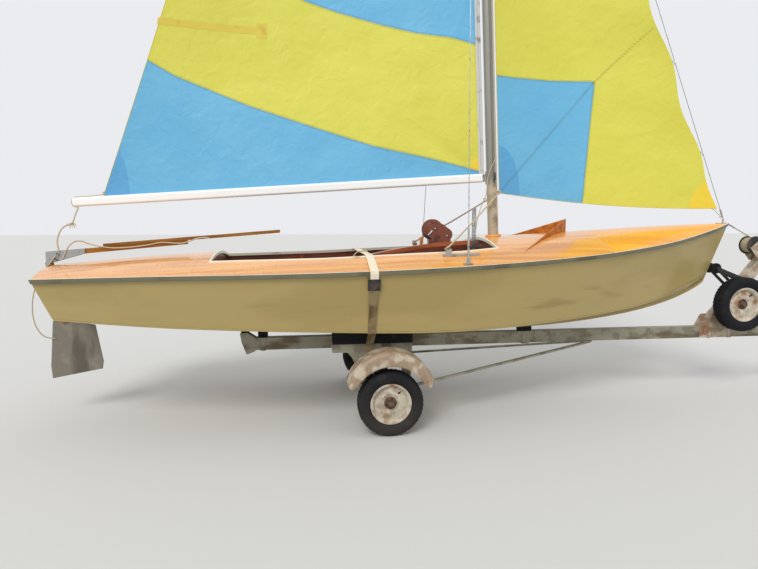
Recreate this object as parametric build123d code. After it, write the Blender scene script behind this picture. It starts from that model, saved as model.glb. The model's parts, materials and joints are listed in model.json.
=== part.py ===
from build123d import *
from collections import namedtuple
import math
import os

# Sailing dinghy on its road trailer, in millimetres: X forward from half the hull's length,
# Y to port, Z up from the ground. At the end the whole is centred along X.

# Hull
side_ply = 9
bottom_ply = 12
deck_ply = 8
seam = 0.3               # between pieces that meet along a curve
stem_depth = 16
stem_half = 15
transom_ply = 18
rail_width = 16
rail_above = 15
rail_below = 13
frame_depth = 55
frame_width = 18
beam_depth = 45
keel_batten_width = 60
keel_batten_depth = 14

Station = namedtuple("Station", "sheer_x lean keel_z chine_half chine_z sheer_half sheer_z crown")
stations = [
    Station(-2450, -0.40, 668, 420, 724, 462, 968, 64),
    Station(-1700, -0.15, 596, 550, 684, 648, 994, 100),
    Station(-800, 0.00, 554, 612, 650, 734, 1009, 124),
    Station(100, 0.00, 546, 600, 628, 730, 1039, 142),
    Station(1000, 0.10, 566, 425, 660, 570, 1089, 148),
    Station(1700, 0.20, 645, 240, 728, 322, 1156, 122),
    Station(2180, 0.32, 754, 86, 850, 122, 1243, 56),
    Station(2408, 0.413, 873, 15, 906, 17, 1300, 6),
]
aft, fore = stations[0], stations[-1]
rows_between = 4         # sections drawn from one station to the next

# Cockpit
cockpit_aft = -1424
cockpit_front = 430
cockpit_half_aft = 440
cockpit_half_mid = 500
cockpit_half_front = 455
cockpit_wide_aft = -700
cockpit_wide_front = 160
carlin_width = 20
carlin_depth = 68
carlin_joint = 8         # from the cockpit's ends to where the side carlins meet the end ones
trim_width = 13
trim_rise = 7
trim_hang = 6
deck_seam_aft = -1500
deck_seam_fore = 1215
saw_cut = 0.4
frame_places = [-1330, -420, 300]
beam_places = [-1950, 900, 1560]
floor_thickness = 12
floor_length = 1700
floor_middle_x = -450
floor_half = 400
floor_gap = 8
planks_per_side = 3

# Centreboard trunk and its winch
slot_width = 24
trunk_aft = -640
trunk_front = 330
trunk_side = 16
trunk_post = 30
board_thickness = 16
board_end_play = 4
board_sunk = 60          # top edge of the raised board below the cap
board_bolt = 8           # pivot bolt, in from the slot's front end and up from the keel
board_pivot_in = 60
board_pivot_up = 80
cap_line = [(-640, 1020), (-110, 1142), (416, 1190)]   # top of the arched cap: x, z
cap_width = 62
cap_depth = 30
winch_x = 84
winch_z = 1268
winch_big_radius = 74
winch_small_radius = 44
winch_small_x = 186
winch_small_z = 1232
winch_width = 34
winch_cheek = 3
winch_bolt = 7
winch_drum_rim = 14      # drum smaller than its cheeks
winch_skirt = 48         # height of the cheeks' straight lower part
winch_foot_width = 50
winch_foot_drop = 67     # cheeks' lower edge below the big lobe's centre
post_x = 385
post_width = 30
post_thickness = 6
post_foot_z = 1040
post_top_z = 1423
post_holes = 8
post_pitch = 42
post_hole_radius = 4

# Splash board
splash_apex_x = 1102
splash_tail_x = 505
splash_tail_y = 600
splash_thickness = 12
splash_top_apex = 1346   # height of its top edge at the apex and at the tails
splash_top_tail = 1098

# Spars and sails
mast_x = 541             # at the height mast_deck_z
mast_deck_z = 1241
mast_rake = 2.7          # degrees aft
mast_long = 78
mast_wide = 58
mast_top_z = 7900
mast_heel_z = 640
mast_play = 0.5
luff_slot = 3.5
luff_bore = 4.5
mast_wall = 2.2
spar_cap = 24            # solid length at a hollow spar's far end
step_size = (190, 90, 110)
collar_width = 18
collar_height = 14
hounds_z = 6320
hounds_band = 3
hounds_height = 60
hounds_lug = 12
gooseneck_z = 1639
gooseneck_reach = 22     # mast face to gooseneck pin
gooseneck_lug = 4
gooseneck_eye = 38       # height of the boom's eye between the lugs
goose_pin_radius = 4
goose_play = 0.06
boom_depth = 62
boom_width = 44
boom_corner = 16
boom_wall = 2.5
boom_plug = 60           # solid length at the boom's front end
boom_front_gap = 14
boom_tongue = (8, 30)    # width and height of the bar in the boom's front end
boom_tongue_length = 30
boom_aft_x = -2345
boom_aft_z = 1452
sail_thickness = 4
stay_radius = 2.5
stay_top_drop = 1.2      # a stay's end below its lug
shroud_x = 155
shroud_y = 690
shroud_foot_z = 1100
forestay_foot_x = 2386
forestay_foot_z = 1342
turnbuckle_length = 190
turnbuckle_radius = 6.5
plate_thickness = 3
track_x = (30, 268)
track_y = 555
track_width = 24
track_height = 8
lead_length = 36
lead_height = 44
main_head_z = 7720
main_clew_x = -2163
jib_tack_z = 1425
jib_clew_z = 1532
jib_head_z = 5950
jib_leech_gap = 14       # mast face to jib leech

# Rudder and tiller
rudder_gap = 13          # transom face to rudder axis
rudder_foot_z = 700      # height of the transom's point that the rudder is drawn from
blade_thickness = 8
blade_play = 0.6
cheek_thickness = 15
stock_front = 12         # axis to stock
stock_top = 46           # axis to the stock's aft edge, at its head
stock_chord = 122
stock_height = 402
stock_foot = -12
blade_pivot = (70, 25)   # aft of the axis and up it
pivot_radius = 6
blade_boss = 52
blade_sweep = 115        # the blade's head turns inside this radius
blade_outline = [(-2378, 668), (-2350, 640), (-2258, 624), (-2217, 370), (-2225, 318),
                 (-2550, 260), (-2556, 347), (-2529, 650), (-2482, 722)]
gudgeon_places = [70, 300]
gudgeon_height = 22
gudgeon_radius = 9
pintle_radius = 5
pintle_play = 0.06
tiller_root_x = -2478
tiller_end_x = -1630
tiller_root_z = 1094
tiller_slope = 0.079
tiller_depth = 36
tiller_taper = 10
tiller_width = 30
extension_start_x = -2180
extension_end_x = -1003
extension_size = 22
head_strap_sheet = 3
head_strap_front_x = -2292
head_strap_bolts = (-2440, -2330)
head_bolt_radius = 5

# Strap that ties the boat down
tie_x = -430
tie_width = 50
tie_thickness = 2.5
tie_gap = 0.6
tie_end = 40             # length that lies on the trailer's rail

# Trailer
axle_x = -320
track_half = 650
tyre_radius = 205.5
tyre_width = 118
rim_radius = 121
rim_width = 92
hub_radius = 40
bore_radius = 14.3
hub_length = 52
dish_y = 8
spindle_radius = 14
spindle_end = 655
axle_half = 560
axle_size = 46
tube_top = 510
tube_height = 88
tube_width = 64
tube_wall = 4
tube_aft = -1236
tube_front = 3230
nose_x = 3456
brace_front_x = 1312
brace_size = 26
brace_axle_y = 520
brace_front_y = 20
brace_plate = 6
bunk_x = (-668, -150)
bunk_y = 450
bunk_width = 86
rail_top = 545
rail_height = 58
rail_section = 50
cross_x = -450
cross_size = 60
hanger_plate = 5
hanger_wide = (150, 62)  # at the rail, aft and front
hanger_narrow = 54
hanger_shoulder = 62
hanger_foot = 18
spring_x = (-495, -184)
spring_eye_z = 296
spring_leaf = 7
spring_width = 40
spring_eye = 10
spring_pin = 5
spring_pin_play = 0.05
short_leaf = 150
fender_radius = 283
fender_lift = 52         # the fender's centre above the wheel's
fender_arch = 240
fender_foot = 112        # the fender's ends above the wheel's centre
fender_width = 150
fender_sheet = 3
fender_stay = 60
fender_stay_sheet = 6
roller_x = -1266
roller_radius = 26
roller_width = 56
roller_bolt = 6
KeelPad = namedtuple("KeelPad", "x length")
keel_pad_table = [KeelPad(-1135, 66), KeelPad(798, 96)]
clamp_plate = 5
spare_x = 2450
spare_y = -165
spare_z = 702
stand_foot_x = 2236      # aft edge of the winch stand at the tube
stand_slope = 1.158      # rise per run
stand_top_z = 1082
stand_deep = 78
stand_wall = 4
gusset_sheet = 4
gusset_rise = 90
band_places = (2299, 2471)
band_width = 26
bow_stop_z = 965
bow_stop_radius = 34
bow_stop_rim = 40
bow_stop_width = 92
bow_stop_bolt = 8
arm_drops = (95, 170)    # arms' lower ends below the bow stop
arm_half = 11
arm_sheet = 6
arm_bolt = 6
reel = (2640, 1142)
reel_radius = 70
reel_core = 42
reel_width = 90
reel_flange = 4
reel_axle = 8
rope_depth = 16
winch_cheek_gap = 3
hook_length = 60
hook_radius = 6
line_radius = 4
ball_radius = 25.4
ball_play = 0.4
coupler_wall = 5
jack_x = 3010
jack_y = -90
jack_radius = 28
jack_wall = 4
jack_play = 0.3
jack_top_z = 640
jack_bottom_z = 262
jack_leg_top_z = 420
jack_travel = 190
foot_radius = 75
foot_sheet = 6


def fair(table, between):
    """Adds rows between the stations on a smooth curve through them."""
    drawn = []
    for i in range(len(table) - 1):
        near, far = table[i], table[i + 1]
        before, beyond = table[max(i - 1, 0)], table[min(i + 2, len(table) - 1)]
        for k in range(between):
            t = k / between
            reach = 3 * t**2 - 2 * t**3
            pull, push = t**3 - 2 * t**2 + t, t**3 - t**2
            drawn.append(Station(*[(1 - reach) * q + pull * (r - p) / 2 + reach * r + push * (s - q) / 2
                                   for p, q, r, s in zip(before, near, far, beyond)]))
    return drawn + [table[-1]]


rows = fair(stations, rows_between)


def row_at(x, z):
    """The hull section that passes through a place, straight between the rows."""
    places = [row.sheer_x - row.lean * (row.sheer_z - z) for row in rows]
    i = max(0, min(len(rows) - 2, sum(1 for place in places if place <= x) - 1))
    share = (x - places[i]) / (places[i + 1] - places[i])
    return Station(*[a + share * (b - a) for a, b in zip(rows[i], rows[i + 1])])


def across(row, y, z):
    """A point of a leaning hull section."""
    return Vector(row.sheer_x - row.lean * (row.sheer_z - z), y, z)


def side_y(row, z):
    """Half-breadth of the planking's outer face at a height."""
    share = (z - row.chine_z) / (row.sheer_z - row.chine_z)
    return row.chine_half + share * (row.sheer_half - row.chine_half)


def deck_z(row, y):
    """Height of the deck's underside at a half-breadth, on the arc of its crown."""
    radius = (row.sheer_half**2 + row.crown**2) / (2 * row.crown)
    return row.sheer_z + row.crown - radius + math.sqrt(radius**2 - y**2)


def both_sides(half):
    """Closes a half outline, given from the centreline out, with its mirror image."""
    return half + [(-y, z) for y, z in reversed(half) if y > 0]


def hull_loft(outline, table=rows):
    """Lofts straight-sided sections along the hull; outline(row) gives (y, z) corners."""
    wires = [Wire.make_polygon([across(row, y, z) for y, z in outline(row)], close=True) for row in table]
    return Solid.make_loft(wires, True)


def crown_arc(row, rise, flip=False):
    """The deck's crown across a section, raised by a thickness."""
    half, height = row.sheer_half, row.sheer_z + rise
    ends = [across(row, half, height), across(row, -half, height)]
    if flip:
        ends.reverse()
    return ThreePointArc(ends[0], across(row, 0, height + row.crown), ends[1])


def sheet_wire(row, low, high):
    """A section of a sheet between two heights above the crown."""
    upper, lower = crown_arc(row, high), crown_arc(row, low, True)
    return Wire([upper, Line(upper @ 1, lower @ 0), lower, Line(lower @ 1, upper @ 0)])


def under_wire(row):
    """A section of all that lies under the deck."""
    upper = crown_arc(row, 0)
    low_corners = [across(row, y, row.keel_z) for y in (-row.sheer_half, row.sheer_half)]
    corners = [upper @ 1, *low_corners, upper @ 0]
    return Wire([upper] + [Line(a, b) for a, b in zip(corners, corners[1:])])


def slab(x, thickness):
    """A slice right across the boat."""
    return Pos(x, 0, 1000) * Box(thickness, 2400, 3000)


def facing(face, direction):
    """The face, turned to look along a direction."""
    return face if face.normal_at().dot(Vector(*direction)) > 0 else -face


def prism(outline, z0, z1):
    """A vertical prism over (x, y) corners, or over a face in the ground plane."""
    face = outline if isinstance(outline, Face) else Face(Wire.make_polygon([(x, y, 0) for x, y in outline]))
    return Pos(0, 0, z0) * extrude(facing(face, (0, 0, 1)), z1 - z0, dir=(0, 0, 1))


def plate(outline, y0, y1):
    """A plate over a profile of (x, z) corners, from y0 to y1."""
    face = Face(Wire.make_polygon([(x, y0, z) for x, z in outline]))
    return extrude(facing(face, (0, 1, 0)), y1 - y0, dir=(0, 1, 0))


def strip(outline, x0, x1):
    """A strip over a section of (y, z) corners, from x0 to x1."""
    face = Face(Wire.make_polygon([(x0, y, z) for y, z in outline]))
    return extrude(facing(face, (1, 0, 0)), x1 - x0, dir=(1, 0, 0))


def rod(a, b, radius):
    """A round bar between two points."""
    a, b = Vector(*a), Vector(*b)
    return extrude(Plane(origin=a, z_dir=b - a) * Circle(radius), (b - a).length)


def bar(a, b, width, height, across_dir=(0, 1, 0)):
    """A square bar between two points, its width along a direction."""
    a, b = Vector(*a), Vector(*b)
    return extrude(Plane(origin=a, x_dir=across_dir, z_dir=b - a) * Rectangle(width, height), (b - a).length)


def drum(x, y, z, radius, width):
    """A cylinder about the Y axis, centred on its width."""
    return extrude(Plane(origin=(x, y, z), z_dir=(0, 1, 0)) * Circle(radius), width / 2, both=True)


def spun(points):
    """Revolves (along, radius) points about the X axis."""
    return revolve(Face(Wire.make_polygon([(a, r, 0) for a, r in points])), Axis.X)


def group(*bodies):
    """Several bodies as one piece, their solids kept apart."""
    return Compound(children=[solid for body in bodies for solid in body.solids()])


def mirrored(body):
    """A body and its mirror image on the other side of the boat."""
    return group(body, body.mirror(Plane.XZ))


parts = {}


# Planking
def side_outline(row):
    foot = row.chine_z + bottom_ply + seam
    return [(side_y(row, foot), foot), (row.sheer_half, row.sheer_z),
            (row.sheer_half - side_ply, row.sheer_z), (side_y(row, foot) - side_ply, foot)]


def bottom_outline(row):
    top = row.chine_z + bottom_ply
    return [(0, row.keel_z), (row.chine_half, row.chine_z), (side_y(row, top), top), (0, row.keel_z + bottom_ply)]


def inside_outline(row, depth, play):
    """The space inside the planking, less a depth of framing."""
    low = row.chine_z + bottom_ply + depth + 2 * play
    inset = side_ply + depth + play
    return both_sides([(0, row.keel_z + bottom_ply + depth + play), (side_y(row, low) - inset, low),
                       (row.sheer_half - inset, row.sheer_z), (row.sheer_half - inset, row.sheer_z + 300)])


side = hull_loft(side_outline)
parts["side_planking_port"] = side
parts["side_planking_starboard"] = side.mirror(Plane.XZ)
bottom_half = hull_loft(bottom_outline)
trunk_middle = (trunk_aft + trunk_front) / 2
slot_length = trunk_front - trunk_aft - 2 * trunk_post
slot_cut = Pos(trunk_middle, 0, 600) * Box(slot_length, slot_width, 300)
parts["bottom_planking"] = (bottom_half + bottom_half.mirror(Plane.XZ)) - slot_cut

# Deck in three sheets, round the cockpit and the mast
cockpit_corners = [
    (cockpit_aft, -cockpit_half_aft), (cockpit_wide_aft, -cockpit_half_mid),
    (cockpit_wide_front, -cockpit_half_mid), (cockpit_front, -cockpit_half_front),
    (cockpit_front, cockpit_half_front), (cockpit_wide_front, cockpit_half_mid),
    (cockpit_wide_aft, cockpit_half_mid), (cockpit_aft, cockpit_half_aft),
]
opening = Sketch() + Face(Wire.make_polygon([(x, y, 0) for x, y in cockpit_corners]))


def opening_grown(amount):
    return offset(opening, amount, kind=Kind.INTERSECTION)


mast_lean = math.tan(math.radians(mast_rake))
mast_dir = Vector(-mast_lean, 0, 1).normalized()


def on_mast(z, ahead=0):
    """A point of the mast's middle line at a height, or ahead of it."""
    return Vector(mast_x - (z - mast_deck_z) * mast_lean + ahead, 0, z)


def mast_body(z0, z1, extra=0):
    """The mast's oval from one height to another, with room round it."""
    level = Plane(origin=on_mast(z0), x_dir=(mast_dir.Z, 0, -mast_dir.X), z_dir=mast_dir)
    return extrude(level * Ellipse(mast_long / 2 + extra, mast_wide / 2 + extra), (z1 - z0) / mast_dir.Z)


deck = Solid.make_loft([sheet_wire(row, seam, seam + deck_ply) for row in rows], True)
deck = deck - prism(opening.face(), 400, 1600) - mast_body(1000, 1500, mast_play)
deck = deck - slab(deck_seam_aft, saw_cut) - slab(deck_seam_fore, saw_cut)
sheets = sorted(deck.solids(), key=lambda solid: solid.center().X)
for name, sheet in zip(["aft_deck", "main_deck", "foredeck"], sheets):
    parts[name] = sheet

# What lies under the deck: frames, beams, carlins round the cockpit, mast step
under_deck = Solid.make_loft([under_wire(row) for row in rows], True)
cavity = hull_loft(lambda row: inside_outline(row, 0, seam)) & under_deck
core = hull_loft(lambda row: inside_outline(row, frame_depth, 0), rows[:4 * rows_between + 1])
carlins = (cavity & prism((opening_grown(carlin_width) - opening).face(), 700, 1600)) \
    - Pos(0, 0, -carlin_depth) * under_deck
for x in (cockpit_aft + carlin_joint, cockpit_front - carlin_joint):
    carlins = carlins - slab(x, saw_cut)
parts["carlins"] = group(carlins)
carlin_room = prism(opening_grown(carlin_width + seam).face(), 880, 1600)
trunk_room = Pos(trunk_middle, 0, 700) * Box(trunk_front - trunk_aft + 2 * seam,
                                             slot_width + 2 * trunk_side + 2 * seam, 400)
frames = []
for x in frame_places:
    timber_joint = row_at(x, stations[2].chine_z).chine_z + bottom_ply + frame_depth
    frame = (cavity & slab(x, frame_width)) - core - carlin_room - trunk_room
    frames.append(frame - Pos(x, 0, timber_joint) * Box(2 * frame_width, 2400, saw_cut))
beams = [(cavity & slab(x, frame_width)) - Pos(0, 0, -beam_depth) * under_deck for x in beam_places]
parts["deck_beams"] = group(*beams)
step_x = on_mast(mast_heel_z).X
step = (Pos(step_x, 0, mast_heel_z - 20) * Box(*step_size) & cavity) - mast_body(mast_heel_z, 1000, mast_play)
parts["hull_frames"] = group(*frames, step)

trim_plan = (opening_grown(-seam) - opening_grown(-trim_width - seam)).face()
parts["cockpit_trim"] = (prism(trim_plan, 700, 1600) & Pos(0, 0, deck_ply + trim_rise) * under_deck) \
    - Pos(0, 0, -trim_hang) * under_deck

# Transom between the side planks, and stem
transom_lean = math.atan(-aft.lean)
inboard = Vector(math.cos(transom_lean), 0, math.sin(transom_lean))
transom_plane = Plane(origin=across(aft, 0, aft.sheer_z), x_dir=(0, 1, 0), z_dir=inboard)
parts["transom"] = cavity & extrude(transom_plane * Rectangle(1400, 1400), transom_ply)


def stem_wire(z):
    x = across(fore, 0, z).X + seam
    corners = [(x, stem_half), (x + stem_depth, stem_half / 3), (x + stem_depth, -stem_half / 3), (x, -stem_half)]
    return Wire.make_polygon([(a, b, z) for a, b in corners], close=True)


parts["stem"] = Solid.make_loft([stem_wire(fore.keel_z - 12), stem_wire(fore.sheer_z + deck_ply)], True)


# Rub rails and keel batten
def rail_outline(row):
    near, far = row.sheer_half + seam, row.sheer_half + seam + rail_width
    low, high = row.sheer_z - rail_below, row.sheer_z + rail_above
    return [(near, low), (far, low), (far, high), (near, high)]


def batten_outline(row):
    half = min(keel_batten_width / 2, 0.12 * row.chine_half)
    rise = half * (row.chine_z - row.keel_z) / row.chine_half
    top, low = row.keel_z - seam, row.keel_z - keel_batten_depth
    return [(0, top), (half, top + rise), (half, low), (-half, low), (-half, top + rise)]


parts["rub_rails"] = mirrored(hull_loft(rail_outline))
parts["keel_batten"] = hull_loft(batten_outline, rows[:-3]) - slot_cut

# Floorboards, on the frames beside the trunk
floor_start = slot_width / 2 + trunk_side + floor_gap
plank_width = (floor_half - floor_start - (planks_per_side - 1) * floor_gap) / planks_per_side
planks = []
for i in range(planks_per_side):
    y = floor_start + plank_width / 2 + i * (plank_width + floor_gap)
    room = Pos(floor_middle_x, y, 700) * Box(floor_length, plank_width, 300)
    planks.append((room & Pos(0, 0, seam) * core) - Pos(0, 0, seam + floor_thickness) * core)
parts["floorboards"] = mirrored(group(*planks))

# Centreboard trunk, its arched cap and the board inside
cap_top = ThreePointArc(*[(x, 0, z) for x, z in cap_line])
cap_under = ThreePointArc(*[(x, 0, z - cap_depth) for x, z in cap_line])
cap_wire = Wire([cap_top, Line(cap_top @ 1, cap_under @ 1), cap_under, Line(cap_under @ 0, cap_top @ 0)])
parts["trunk_cap"] = extrude(facing(Face(cap_wire), (0, 1, 0)), cap_width / 2, both=True, dir=(0, 1, 0))


def under_arc(arc, half, drop):
    """All that lies under an arc in the XZ plane, to a half-width, with room to the arc."""
    top = arc.moved(Location((0, 0, -drop)))
    a, b = Vector(top @ 0), Vector(top @ 1)
    low_b, low_a = Vector(b.X, 0, 400), Vector(a.X, 0, 400)
    face = Face(Wire([top, Line(b, low_b), Line(low_b, low_a), Line(low_a, a)]))
    return extrude(facing(face, (0, 1, 0)), half, both=True, dir=(0, 1, 0))


trunk_space = Pos(trunk_middle, 0, 900) * Box(trunk_front - trunk_aft, 200, 1200)
trunk = under_arc(cap_under, slot_width / 2 + trunk_side, seam) & trunk_space & cavity
board_low = row_at(trunk_middle, stations[3].keel_z).keel_z
pivot_x, pivot_z = trunk_front - trunk_post - board_pivot_in, board_low + board_pivot_up
trunk = trunk - Pos(trunk_middle, 0, 900) * Box(slot_length, slot_width, 1200)
parts["centreboard_trunk"] = trunk - drum(pivot_x, 0, pivot_z, board_bolt + seam, 100)
board_space = Pos(trunk_middle, 0, board_low + 600) * Box(slot_length - 2 * board_end_play, 100, 1200)
board_bolt_length = slot_width + 2 * trunk_side + 8
parts["centreboard"] = (under_arc(cap_under, board_thickness / 2, board_sunk) & board_space) \
    + drum(pivot_x, 0, pivot_z, board_bolt, board_bolt_length)

# Board winch on the cap: two cheeks, the drum and bolts between them, and a foot that fits the arch
foot_low = winch_z - winch_big_radius - 8
winch_middle, winch_reach = (winch_x + winch_small_x) / 2, winch_small_x - winch_x
lobes = Pos(winch_x, winch_z) * Circle(winch_big_radius) \
    + Pos(winch_small_x, winch_small_z) * Circle(winch_small_radius)
skirt = Pos(winch_middle, foot_low + winch_skirt / 2) * Rectangle(winch_reach + 40, winch_skirt)
cheek_face = make_hull((lobes + skirt).edges()) - Pos(winch_x + 78, winch_z + 64) * Circle(26)
board_winch = drum(winch_x, 0, winch_z, winch_big_radius - winch_drum_rim, winch_width - 2)
for sign in (1, -1):
    level = Plane(origin=(0, sign * winch_width / 2, 0), x_dir=(1, 0, 0), z_dir=(0, -1, 0))
    board_winch = board_winch + extrude(level * cheek_face, -sign * winch_cheek)
for x, z in ((winch_x, winch_z), (winch_small_x, winch_small_z)):
    board_winch = board_winch + drum(x, 0, z, winch_bolt, winch_width + 2 * winch_cheek + 8)
foot_top = winch_z - winch_foot_drop
winch_foot = Pos(winch_middle, 0, foot_top - 25) * Box(winch_reach + 60, winch_foot_width, 50)
parts["board_winch"] = board_winch + (winch_foot - under_arc(cap_top, cap_width, -seam))

# Perforated post beside the cap
post_y = -(cap_width / 2 + seam + post_thickness / 2)
post = Pos(post_x, post_y, (post_foot_z + post_top_z) / 2) * Box(post_width, post_thickness, post_top_z - post_foot_z)
for i in range(post_holes):
    post = post - drum(post_x, post_y, post_foot_z + 30 + post_pitch * i, post_hole_radius, 20)
parts["perforated_post"] = post

# Splash board: two boards meeting in a V ahead of the mast
above_deck = Pos(0, 0, deck_ply + 2 * seam) * under_deck


def on_deck(body, height):
    """What of a body lies on the deck, up to a height."""
    return (body & Pos(0, 0, height) * above_deck) - above_deck


splash_lean = math.atan2(splash_tail_y, splash_apex_x - splash_tail_x)
inward = Vector(-math.sin(splash_lean), -math.cos(splash_lean)) * splash_thickness
splash_plan = [
    (splash_apex_x, 0), (splash_tail_x, splash_tail_y), (splash_tail_x + inward.X, splash_tail_y + inward.Y),
    (splash_apex_x - splash_thickness / math.sin(splash_lean), 0),
]
splash_rise = (splash_top_apex - splash_top_tail) / (splash_apex_x - splash_tail_x)
splash_side = plate([(x, z) for x, z in (
    (splash_tail_x - 60, 900), (splash_apex_x + 60, 900),
    (splash_apex_x + 60, splash_top_apex + 60 * splash_rise),
    (splash_tail_x - 60, splash_top_tail - 60 * splash_rise))], -10, splash_tail_y + 60)
splash_half = (prism(splash_plan, 900, 1500) & splash_side) - above_deck
parts["splash_board"] = splash_half + splash_half.mirror(Plane.XZ)

# Mast with its luff groove and the band that the stays hang from
level = Plane(origin=on_mast(mast_heel_z), x_dir=(mast_dir.Z, 0, -mast_dir.X), z_dir=mast_dir)
groove = Pos(-mast_long / 2, 0) * Rectangle(4 * luff_bore, luff_slot) \
    + Pos(2.2 * luff_bore - mast_long / 2, 0) * Circle(luff_bore)
groove_wall = Pos(1.6 * luff_bore - mast_long / 2, 0) * Rectangle(5 * luff_bore, 2 * luff_bore + 2 * mast_wall)
mast_hollow = Ellipse(mast_long / 2 - mast_wall, mast_wide / 2 - mast_wall) - groove_wall
mast_length = (mast_top_z - mast_heel_z) / mast_dir.Z
mast = extrude(level * (Ellipse(mast_long / 2, mast_wide / 2) - groove), mast_length) \
    - extrude(level * mast_hollow, mast_length - spar_cap)
hounds = on_mast(hounds_z)
band = mast_body(hounds_z, hounds_z + hounds_height, hounds_band) \
    - mast_body(hounds_z - 10, hounds_z + hounds_height + 10)
side_lug_y = mast_wide / 2 + hounds_lug / 2
front_lug_x = on_mast(hounds_z, mast_long / 2).X
lugs = Pos(hounds.X, 0, hounds_z + 12) * (Pos(0, side_lug_y, 0) * Box(20, hounds_lug, 24)
                                          + Pos(0, -side_lug_y, 0) * Box(20, hounds_lug, 24)
                                          + Pos(mast_long / 2 + hounds_lug / 2, 0, 0) * Box(hounds_lug, 10, 24))
parts["mast"] = mast + (band + (lugs - mast_body(hounds_z - 20, hounds_z + 60)))
collar = on_deck(mast_body(1100, 1500, collar_width), collar_height)
parts["mast_collar"] = collar - mast_body(1000, 1600, mast_play)

# Forestay on the stemhead fitting, shrouds on their chainplates
stay_top_x = front_lug_x + hounds_lug / 2
stay_lean = (forestay_foot_x - stay_top_x) / (hounds_z - forestay_foot_z)


def on_forestay(z):
    return Vector(forestay_foot_x - (z - forestay_foot_z) * stay_lean, 0, z)


screw_low = forestay_foot_z + 12
forestay = rod(on_forestay(forestay_foot_z), on_forestay(hounds_z - stay_top_drop), stay_radius) \
    + rod(on_forestay(screw_low), on_forestay(screw_low + turnbuckle_length / 3), turnbuckle_radius)
stem_base = on_deck(Pos(forestay_foot_x - 14, 0, 1300) * Box(84, 26, 200), plate_thickness)
stem_tang = on_deck(Pos(forestay_foot_x + 4, 0, 1300) * Box(24, plate_thickness, 200), 60)
stem_tang = stem_tang - Pos(forestay_foot_x, 0, forestay_foot_z + 49.5) * Box(100, 20, 100)
chain_base = on_deck(Pos(shroud_x, shroud_y, 1100) * Box(60, 22, 300), plate_thickness)
chain_tang = Pos(shroud_x, shroud_y, shroud_foot_z - 40) * Box(24, plate_thickness, 80 - 2 * seam) - above_deck
shroud_foot = Vector(shroud_x, shroud_y, shroud_foot_z)
shroud_head = Vector(hounds.X, side_lug_y, hounds_z - stay_top_drop)
shroud_dir = (shroud_head - shroud_foot).normalized()
screw_top = shroud_foot + shroud_dir * turnbuckle_length
shroud = rod(shroud_foot + shroud_dir * stay_radius, screw_top, turnbuckle_radius) \
    + rod(screw_top - shroud_dir, shroud_head, stay_radius)
parts["stays"] = group(forestay, mirrored(shroud))

track_middle = sum(track_x) / 2
track = on_deck(Pos(track_middle, track_y, 1100) * Box(track_x[1] - track_x[0], track_width, 200), track_height)
lead = on_deck(Pos(track_x[0] + lead_length, track_y, 1100) * Box(lead_length, track_width - 4, 200), lead_height)
parts["jib_tracks"] = mirrored(track + lead)

# Gooseneck and boom
hinge_back = mast_long / 2 / mast_dir.Z + gooseneck_reach


def on_luff(z):
    """A point of the line that the boom swings about, which the mainsail's luff follows."""
    return on_mast(z, -hinge_back)


goose = on_luff(gooseneck_z)
boom_dir = (Vector(boom_aft_x, 0, boom_aft_z) - goose).normalized()
pin_plane = Plane(origin=goose, x_dir=(mast_dir.Z, 0, -mast_dir.X), z_dir=mast_dir)
lug_face = Circle(11) + Pos(gooseneck_reach / 2 + 3, 0) * Rectangle(gooseneck_reach + 6, 22)
lug_lift = gooseneck_eye / 2 + 1
goose_pin_half = lug_lift + gooseneck_lug + 4
bracket = extrude(pin_plane.offset(-goose_pin_half) * Circle(goose_pin_radius), 2 * goose_pin_half)
for lift in (-lug_lift - gooseneck_lug, lug_lift):
    bracket = bracket + extrude(pin_plane.offset(lift) * lug_face, gooseneck_lug)
bracket = bracket + extrude(pin_plane.offset(-46) * (Pos(gooseneck_reach + 0.5, 0) * Rectangle(11, 30)), 92)
parts["mast"] = group(parts["mast"], bracket - mast_body(gooseneck_z - 200, gooseneck_z + 200, seam))
eye = extrude(pin_plane.offset(-gooseneck_eye / 2) * Circle(10), gooseneck_eye)
eye = eye + bar(goose + boom_dir * 4, goose + boom_dir * (boom_front_gap + boom_tongue_length), *boom_tongue)
parts["boom_end_fitting"] = eye - extrude(pin_plane.offset(-60) * Circle(goose_pin_radius + goose_play), 120)
boom_start = goose + boom_dir * boom_front_gap
boom_plane = Plane(origin=boom_start, x_dir=(0, 1, 0), z_dir=boom_dir)
boom_length = (Vector(boom_aft_x, 0, boom_aft_z) - boom_start).length
tongue_end = goose + boom_dir * (boom_front_gap + boom_tongue_length + 2)
tongue_room = bar(goose, tongue_end, *[size + 2 * seam for size in boom_tongue])
boom_hollow = boom_plane.offset(boom_plug) * RectangleRounded(
    boom_width - 2 * boom_wall, boom_depth - 2 * boom_wall, boom_corner - boom_wall)
parts["boom"] = extrude(boom_plane * RectangleRounded(boom_width, boom_depth, boom_corner), boom_length) \
    - extrude(boom_hollow, boom_length - boom_plug - spar_cap) - tongue_room


def boom_top(x):
    """Height of the boom's upper face at a place along it."""
    return goose.Z + (x - goose.X) * boom_dir.Z / boom_dir.X + boom_depth / 2 / abs(boom_dir.X)


# Sails: thin shells between chord sections, cambered to port
def sail_wire(luff, leech, belly):
    """A thin cambered section between two edge points."""
    half = Vector(0, sail_thickness / 2, 0)
    middle = luff + (leech - luff) * 0.42 + Vector(0, belly, 0)
    outer = ThreePointArc(luff + half, middle + half, leech + half)
    inner = ThreePointArc(leech - half, middle - half, luff - half)
    return Wire([outer, Line(outer @ 1, inner @ 0), inner, Line(inner @ 1, outer @ 0)])


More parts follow.
